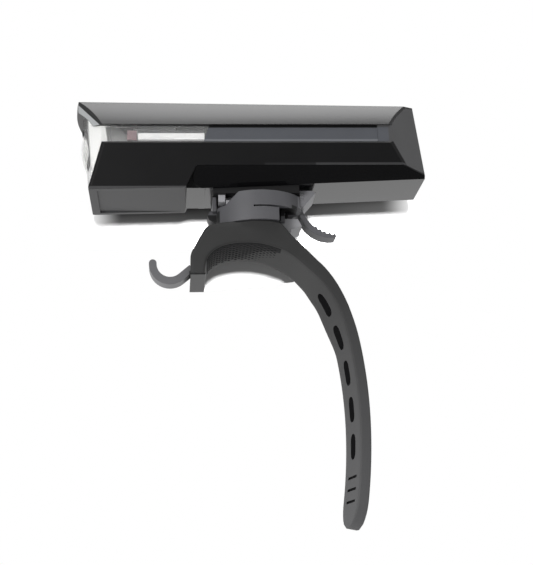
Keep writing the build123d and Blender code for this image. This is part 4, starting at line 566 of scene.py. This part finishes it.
def saddle_rings():
    """Sections of the saddle, from its front leg over the bar to the strap's root."""
    rings = []
    for inner, outer, top_half in smooth_between(SADDLE_STATIONS, STATION_PARTS):
        inner, outer = Vector((0, *inner)), Vector((0, *outer))
        height = (outer - inner).length
        base_half = min(SEAT_HALF, top_half)
        edge_in = SEAT_EDGE_IN + (ROOT_EDGE_IN - SEAT_EDGE_IN) * ease(inner.y, *SEAT_SPAN)
        dip = (inner - outer).normalized() * edge_in
        ring = []
        for x, share in rounded_section(base_half, top_half, height, SADDLE_EDGE_RADIUS):
            p = inner.lerp(outer, share) + dip * (base_half - x) / (2 * base_half)
            ring.append((x, p.y, p.z))
        rings.append(ring)
    return rings


def strap_rings():
    """Sections of the strap, from its root to its round tip."""
    rings = []
    count = int(STRAP_LENGTH / SECTION_STEP)
    for i in range(count + 1):
        distance = STRAP_START + (STRAP_LENGTH - STRAP_START) * i / count
        left = STRAP_LENGTH - distance
        half = STRAP_HALF + ROOT_SPREAD * (1 - ease(distance, *SPREAD_SPAN))
        if left < TIP_RADIUS:
            arc = TIP_RADIUS ** 2 - (TIP_RADIUS - left) ** 2
            half = STRAP_HALF - TIP_RADIUS + math.sqrt(max(arc, TIP_FLAT ** 2))
        place = strap_frame(distance)
        thick = STRAP_THICK + ROOT_SWELL * (1 - ease(distance, *SWELL_SPAN))
        rings.append([tuple(place @ Vector((x, 0, share * thick)))
                      for x, share in rounded_section(half, half, thick, STRAP_EDGE_RADIUS)])
    return rings


def strap_cutters():
    """The bars that cut the strap's slots and finger grooves, with the painted shade of their walls."""
    bm = bmesh.new()
    for i in range(SLOT_COUNT):
        rounded_bar(bm, strap_frame(SLOT_FIRST + i * SLOT_PITCH), *SLOT_SIZE)
    first_groove = SLOT_FIRST + (SLOT_COUNT - 1) * SLOT_PITCH + GROOVE_FIRST
    for i in range(GROOVE_COUNT):
        rounded_bar(bm, strap_frame(first_groove + GROOVE_PITCH * i), *GROOVE_SIZE)
    cutters = mesh_object("strap_slots", bm)
    cutters.data.materials.append(slot_shade_silicone)
    return cutters


def rubber_saddle_and_strap():
    """The whole piece of rubber, with its slots and grooves cut."""
    bm = bmesh.new()
    skin(bm, saddle_rings() + strap_rings())
    rubber = mesh_object("rubber_saddle_and_strap", bm)
    rubber.data.materials.append(silicone)
    cut(rubber, strap_cutters())
    smooth(rubber)
    return rubber


rubber = rubber_saddle_and_strap()
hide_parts("saddle", "strap")
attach(rubber, "bracket_base")


# Grip pad: a thin rubber sheet on the seat with a narrow plain rim and a brick pattern of small bumps
PAD_START, PAD_LENGTH, PAD_HALF, PAD_RIM = 4.2, 25.6, 10.0, 1.0
PAD_SUNK, PAD_SHOULDER, PAD_FACE, PAD_BEVEL = 0.3, 0.1, 0.2, 0.15
PAD_PARTS, WALK_PARTS = 40, 8
BUMP_WIDE, BUMP_LONG, BUMP_HIGH, BUMP_PITCH_X, BUMP_PITCH_Y = 1.25, 1.05, 0.5, 2.3, 1.09


def seat_walk():
    """Points (length along it, y, z) of the rubber's inner face, from the front leg to the strap."""
    length, walk = 0.0, []
    for (y, z), outer, half in smooth_between(SADDLE_STATIONS, WALK_PARTS):
        if walk:
            length += math.hypot(y - walk[-1][1], z - walk[-1][2])
        walk.append((length, y, z))
    return walk


def seat_frame(walk, length):
    """Matrix on the seat at that length: x across it, y along it, z out of its face towards the bar."""
    for (s0, y0, z0), (s1, y1, z1) in zip(walk, walk[1:]):
        if length <= s1:
            break
    share = (length - s0) / (s1 - s0)
    along = Vector((0, y1 - y0, z1 - z0)).normalized()
    out = Vector((0, along.z, -along.y))
    place = Matrix.Translation((0, y0 + (y1 - y0) * share, z0 + (z1 - z0) * share))
    return place @ Matrix(((1, 0, 0), along, out)).transposed().to_4x4()


def bump_tree(finish):
    """Geometry nodes that set one rounded bump on every loose point of a mesh and join them to it."""
    tree = bpy.data.node_groups.new("woven_bumps", "GeometryNodeTree")
    tree.interface.new_socket(name="Geometry", in_out="INPUT", socket_type="NodeSocketGeometry")
    for name in ("Width", "Length", "Height"):
        tree.interface.new_socket(name=name, in_out="INPUT", socket_type="NodeSocketFloat")
    tree.interface.new_socket(name="Geometry", in_out="OUTPUT", socket_type="NodeSocketGeometry")
    given = add(tree, "NodeGroupInput")
    bump = add(tree, "GeometryNodeMeshUVSphere", {"Segments": 8, "Rings": 5, "Radius": 0.5})
    size = add(tree, "ShaderNodeCombineXYZ", {"X": given.outputs["Width"], "Y": given.outputs["Length"],
                                              "Z": given.outputs["Height"]})
    out = add(tree, "GeometryNodeInputNamedAttribute", {"Name": "out"}, data_type="FLOAT_VECTOR")
    turn = add(tree, "FunctionNodeAlignRotationToVector", {"Vector": out.outputs["Attribute"]}, axis="Z")
    loose = add(tree, "GeometryNodeInputNamedAttribute", {"Name": "bump"}, data_type="BOOLEAN")
    bumps = add(tree, "GeometryNodeInstanceOnPoints", {
        "Points": given.outputs["Geometry"], "Selection": loose.outputs["Attribute"],
        "Instance": bump.outputs["Mesh"], "Rotation": turn.outputs["Rotation"],
        "Scale": size.outputs["Vector"]})
    sheet = add(tree, "GeometryNodeDeleteGeometry", {"Geometry": given.outputs["Geometry"],
                                                     "Selection": loose.outputs["Attribute"]}, domain="POINT")
    both = add(tree, "GeometryNodeJoinGeometry", {"Geometry": sheet.outputs["Geometry"]})
    tree.links.new(bumps.outputs["Instances"], both.inputs["Geometry"])
    real = add(tree, "GeometryNodeRealizeInstances", {"Geometry": both.outputs["Geometry"]})
    shown = add(tree, "GeometryNodeSetMaterial", {"Geometry": real.outputs["Geometry"], "Material": finish})
    add(tree, "NodeGroupOutput", {"Geometry": shown.outputs["Geometry"]})
    return tree


def pad_rings(walk):
    """Sections of the pad's sheet along the seat."""
    outline = [(-PAD_HALF, -PAD_SUNK), (PAD_HALF, -PAD_SUNK), (PAD_HALF, PAD_SHOULDER),
               (PAD_HALF - PAD_BEVEL, PAD_FACE), (-PAD_HALF + PAD_BEVEL, PAD_FACE), (-PAD_HALF, PAD_SHOULDER)]
    rings = []
    for i in range(PAD_PARTS + 1):
        place = seat_frame(walk, PAD_START + PAD_LENGTH * i / PAD_PARTS)
        rings.append([tuple(place @ Vector((x, 0, z))) for x, z in outline])
    return rings


def woven_grip_pad():
    """The sheet with a loose point for each bump, which the geometry nodes turn into bumps."""
    walk = seat_walk()
    bm = bmesh.new()
    skin(bm, pad_rings(walk))
    outs = [Vector((0, 0, 0))] * len(bm.verts)
    rows = int((PAD_LENGTH - 2 * PAD_RIM) / BUMP_PITCH_Y)
    columns = int(2 * (PAD_HALF - PAD_RIM) / BUMP_PITCH_X) + 1
    for i in range(rows + 1):
        place = seat_frame(walk, PAD_START + PAD_RIM + BUMP_PITCH_Y * i)
        for j in range(columns - i % 2):
            x = (j - (columns - 1 - i % 2) / 2) * BUMP_PITCH_X
            bm.verts.new(place @ Vector((x, 0, PAD_FACE)))
            outs.append(place.to_3x3() @ Vector((0, 0, 1)))
    pad = mesh_object("woven_grip_pad", bm)
    out = pad.data.attributes.new("out", "FLOAT_VECTOR", "POINT")
    out.data.foreach_set("vector", [c for v in outs for c in v])
    bump = pad.data.attributes.new("bump", "BOOLEAN", "POINT")
    bump.data.foreach_set("value", [v.length > 0 for v in outs])
    bumps = pad.modifiers.new("bumps", "NODES")
    bumps.node_group = bump_tree(pad_rubber)
    sizes = {"Width": BUMP_WIDE * MM, "Length": BUMP_LONG * MM, "Height": BUMP_HIGH * MM}
    for socket in bumps.node_group.interface.items_tree:
        if socket.name in sizes:
            bumps[socket.identifier] = sizes[socket.name]
    apply_modifiers(pad)
    shade(pad, pad_rubber)
    return pad


pad = woven_grip_pad()
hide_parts("grip_pad")
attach(pad, "bracket_base")


# Stage: a pale floor below the light, and the table that the light lies on in the photograph.
# The table is two small upright sheets, one behind the body and one behind the saddle's arch.
BACK, ARCH_BACK, FLOOR, FLOOR_HALF = -17.0, -17.3, -230.0, 3000
TABLE_TURN = math.tan(math.radians(0.3))      # the photograph's table isn't quite square to the body
BODY_SHEET_EDGE = -46                         # y at which x of the body's sheet is BACK
BODY_SHEET = [(BODY_SHEET_EDGE, 48), (BODY_SHEET_EDGE, 38.5), (-85, 38.5), (-85, 22), (62, 22), (62, 48)]
ARCH_SHEET = [(-16, 18), (-16, 7.5), (4, 9), (15, 10.4), (15, 18)]

# The paper's painted shade is darkest above one height and gives way to its full tone below another, in
# metres. Both heights rise a little towards the rear, as the body's shadow does in the photograph.
PAPER_DARK, PAPER_FULL, PAPER_RISE = 0.0395, 0.0315, 0.08
PAPER_DARK_TONE, PAPER_FULL_TONE = 0.05, 0.25

# The body's middle, and how far from it the paper starts to whiten and is white, in metres
BODY_MIDDLE, WHITE_START, WHITE_END = 0.002, 0.043, 0.057


def sheets_of_paper(name, sheets, finish):
    """One object of flat sheets, each given by its corners in millimetres."""
    bm = bmesh.new()
    for corners in sheets:
        bm.faces.new([bm.verts.new(c) for c in corners])
    made = mesh_object(name, bm)
    made.data.materials.append(finish)
    return made


def table_paper():
    """Paper that only a camera in front of it sees, with the shadows that fall on it.

    It is grey, with painted shade over its real shadow close under the body, and plain white past its ends.
    """
    finish, tree = empty_material("table_paper")
    place = add(tree, "ShaderNodeTexCoord")
    axes = add(tree, "ShaderNodeSeparateXYZ", {0: place.outputs["Object"]})
    height = add(tree, "ShaderNodeVectorMath", {0: place.outputs["Object"], 1: (0, -PAPER_RISE, 1)},
                 operation="DOT_PRODUCT")
    tone = add(tree, "ShaderNodeMapRange", {
        "Value": height.outputs["Value"], "From Min": PAPER_DARK, "From Max": PAPER_FULL,
        "To Min": PAPER_DARK_TONE, "To Max": PAPER_FULL_TONE}, interpolation_type="SMOOTHSTEP")
    aside = add(tree, "ShaderNodeMath", {0: axes.outputs["Y"], 1: BODY_MIDDLE}, operation="SUBTRACT")
    aside = add(tree, "ShaderNodeMath", {0: aside.outputs[0]}, operation="ABSOLUTE")
    ends = add(tree, "ShaderNodeMapRange", {"Value": aside.outputs[0], "From Min": WHITE_START,
                                            "From Max": WHITE_END}, interpolation_type="SMOOTHSTEP")
    paper = add(tree, "ShaderNodeBsdfDiffuse", {"Color": tone.outputs[0]})
    white = add(tree, "ShaderNodeEmission", {"Color": (1, 1, 1, 1), "Strength": 1.0})
    paper = add(tree, "ShaderNodeMixShader", {0: ends.outputs[0], 1: paper.outputs[0], 2: white.outputs[0]})
    nothing = add(tree, "ShaderNodeBsdfTransparent")
    path = add(tree, "ShaderNodeLightPath")
    side = add(tree, "ShaderNodeNewGeometry")
    front = add(tree, "ShaderNodeMath", {0: path.outputs["Is Camera Ray"], 1: side.outputs["Backfacing"]},
                operation="SUBTRACT", use_clamp=True)
    finish_surface(tree, add(tree, "ShaderNodeMixShader", {0: front.outputs[0], 1: nothing.outputs[0],
                                                           2: paper.outputs[0]}))
    return finish


def floor_paper():
    """White paper that takes the light's shadow near its middle and runs out into the white of the room."""
    finish, tree = empty_material("floor_paper")
    place = add(tree, "ShaderNodeTexCoord")
    away = add(tree, "ShaderNodeVectorMath", {0: place.outputs["Object"]}, operation="LENGTH")
    far = add(tree, "ShaderNodeMapRange", {"Value": away.outputs["Value"], "From Min": 0.25, "From Max": 0.6},
              interpolation_type="SMOOTHSTEP")
    paper = add(tree, "ShaderNodeBsdfDiffuse", {"Color": colour("#f4f4f4")})
    white = add(tree, "ShaderNodeEmission", {"Color": (1, 1, 1, 1), "Strength": 1.0})
    finish_surface(tree, add(tree, "ShaderNodeMixShader", {0: far.outputs[0], 1: paper.outputs[0],
                                                           2: white.outputs[0]}))
    return finish


body_sheet = [(BACK - (y - BODY_SHEET_EDGE) * TABLE_TURN, y, z) for y, z in BODY_SHEET]
arch_sheet = [(ARCH_BACK - y * TABLE_TURN, y, z) for y, z in ARCH_SHEET]
table = sheets_of_paper("photo_table", [body_sheet, arch_sheet], table_paper())
floor_sheet = [(x, y, FLOOR) for x, y in ((-FLOOR_HALF, -FLOOR_HALF), (FLOOR_HALF, -FLOOR_HALF),
                                          (FLOOR_HALF, FLOOR_HALF), (-FLOOR_HALF, FLOOR_HALF))]
floor = sheets_of_paper("floor", [floor_sheet], floor_paper())
floor.visible_glossy = False


# Studio

def studio_room():
    """A white room to the camera, whose walls light the product from above, behind and both ends."""
    world = bpy.data.worlds.new("studio")
    world.use_nodes = True
    tree = world.node_tree
    tree.nodes.clear()
    place = add(tree, "ShaderNodeTexCoord")
    axes = add(tree, "ShaderNodeSeparateXYZ", {0: place.outputs["Generated"]})
    up = add(tree, "ShaderNodeMapRange", {"Value": axes.outputs["Z"], "From Min": 0.1, "From Max": 0.95,
                                          "To Min": 0.12, "To Max": 0.9}, interpolation_type="SMOOTHSTEP")
    behind = add(tree, "ShaderNodeMapRange", {"Value": axes.outputs["X"], "From Min": -0.8, "From Max": 0.1,
                                              "To Min": 1.0, "To Max": 0.0}, interpolation_type="SMOOTHSTEP")
    rear = add(tree, "ShaderNodeMapRange", {"Value": axes.outputs["Y"], "From Min": 0.55, "From Max": 0.95,
                                            "To Min": 0.0, "To Max": 0.9}, interpolation_type="SMOOTHSTEP")
    ahead = add(tree, "ShaderNodeMapRange", {"Value": axes.outputs["Y"], "From Min": -0.45, "From Max": -0.95,
                                             "To Min": 0.0, "To Max": 0.5}, interpolation_type="SMOOTHSTEP")
    ends = add(tree, "ShaderNodeMath", {0: rear.outputs[0], 1: behind.outputs[0]}, operation="MAXIMUM")
    ends = add(tree, "ShaderNodeMath", {0: ends.outputs[0], 1: ahead.outputs[0]}, operation="MAXIMUM")
    glow = add(tree, "ShaderNodeMath", {0: up.outputs[0], 1: ends.outputs[0]}, operation="MAXIMUM")
    path = add(tree, "ShaderNodeLightPath")
    seen = add(tree, "ShaderNodeMath", {0: path.outputs["Is Camera Ray"],
                                        1: path.outputs["Is Transmission Ray"]}, operation="MAXIMUM")
    level = add(tree, "ShaderNodeMath", {0: glow.outputs[0], 1: seen.outputs[0]}, operation="MAXIMUM")
    sky = add(tree, "ShaderNodeBackground", {"Color": (1, 1, 1, 1), "Strength": level.outputs[0]})
    add(tree, "ShaderNodeOutputWorld", {"Surface": sky.outputs[0]})
    return world


def hang(lamp, place, aim):
    """Puts a lamp in its place, facing its aim."""
    made = bpy.data.objects.new(lamp.name, lamp)
    bpy.context.scene.collection.objects.link(made)
    made.location = place
    made.rotation_mode = "QUATERNION"
    made.rotation_quaternion = (Vector(aim) - Vector(place)).to_track_quat("-Z", "Y")
    return made


def softbox(name, place, aim, size, power):
    """A square lamp with an even face."""
    lamp = bpy.data.lights.new(name, "AREA")
    lamp.shape = "SQUARE"
    lamp.size = size
    lamp.energy = power
    return hang(lamp, place, aim)


def sun_along_table(name, strength, width, tilt):
    """A soft sun from the camera's side, tilted up by some degrees from the bar's direction."""
    lamp = bpy.data.lights.new(name, "SUN")
    lamp.energy = strength
    lamp.angle = math.radians(width)
    return hang(lamp, (1, 0, math.tan(math.radians(tilt))), (0, 0, 0))


def light_only(lamp, target, state):
    """Limits a lamp to the target, or keeps it off the target."""
    group = bpy.data.collections.new(lamp.name + "_reach")
    group.objects.link(target)
    group.collection_objects[0].light_linking.link_state = state
    lamp.light_linking.receiver_collection = group


bpy.context.scene.world = studio_room()

# A large softbox overhead gives the edges their line of light, and a small one low at the front fills in
key = softbox("key_softbox", place=(0.16, 0.07, 0.68), aim=(0, 0.03, 0.03), size=0.44, power=3.4)
fill = softbox("fill_softbox", place=(0.68, -0.52, -0.08), aim=(0, 0, 0.02), size=0.28, power=4.8)

# The table has a lamp of its own, so strong that its grey paper is white wherever no shadow falls
table_lamp = sun_along_table("table_lamp", strength=66.0, width=11.0, tilt=8.2)
light_only(key, table, "EXCLUDE")
light_only(fill, table, "EXCLUDE")
light_only(table_lamp, table, "INCLUDE")


# Camera, at the photograph's angle and distance
FOCAL_PIXELS, PICTURE_HEIGHT_PIXELS, SENSOR = 1350, 565, 36.0
CAMERA_PLACE = (0.40997, -0.02656, -0.10231)
CAMERA_RIGHT = (0.06893, 0.99727, -0.02646)
CAMERA_UP = (0.25542, 0.00800, 0.96680)
CAMERA_BACK = (0.96437, -0.07340, -0.25418)

camera = bpy.data.objects.new("camera", bpy.data.cameras.new("camera"))
bpy.context.scene.collection.objects.link(camera)
bpy.context.scene.camera = camera
camera.data.sensor_width = SENSOR
camera.data.lens = FOCAL_PIXELS * SENSOR / PICTURE_HEIGHT_PIXELS
camera.data.clip_start = 0.01
camera.data.clip_end = 20.0
camera.matrix_world = (Matrix.Translation(CAMERA_PLACE)
                       @ Matrix((CAMERA_RIGHT, CAMERA_UP, CAMERA_BACK)).transposed().to_4x4())
bpy.context.scene.view_settings.view_transform = "Standard"
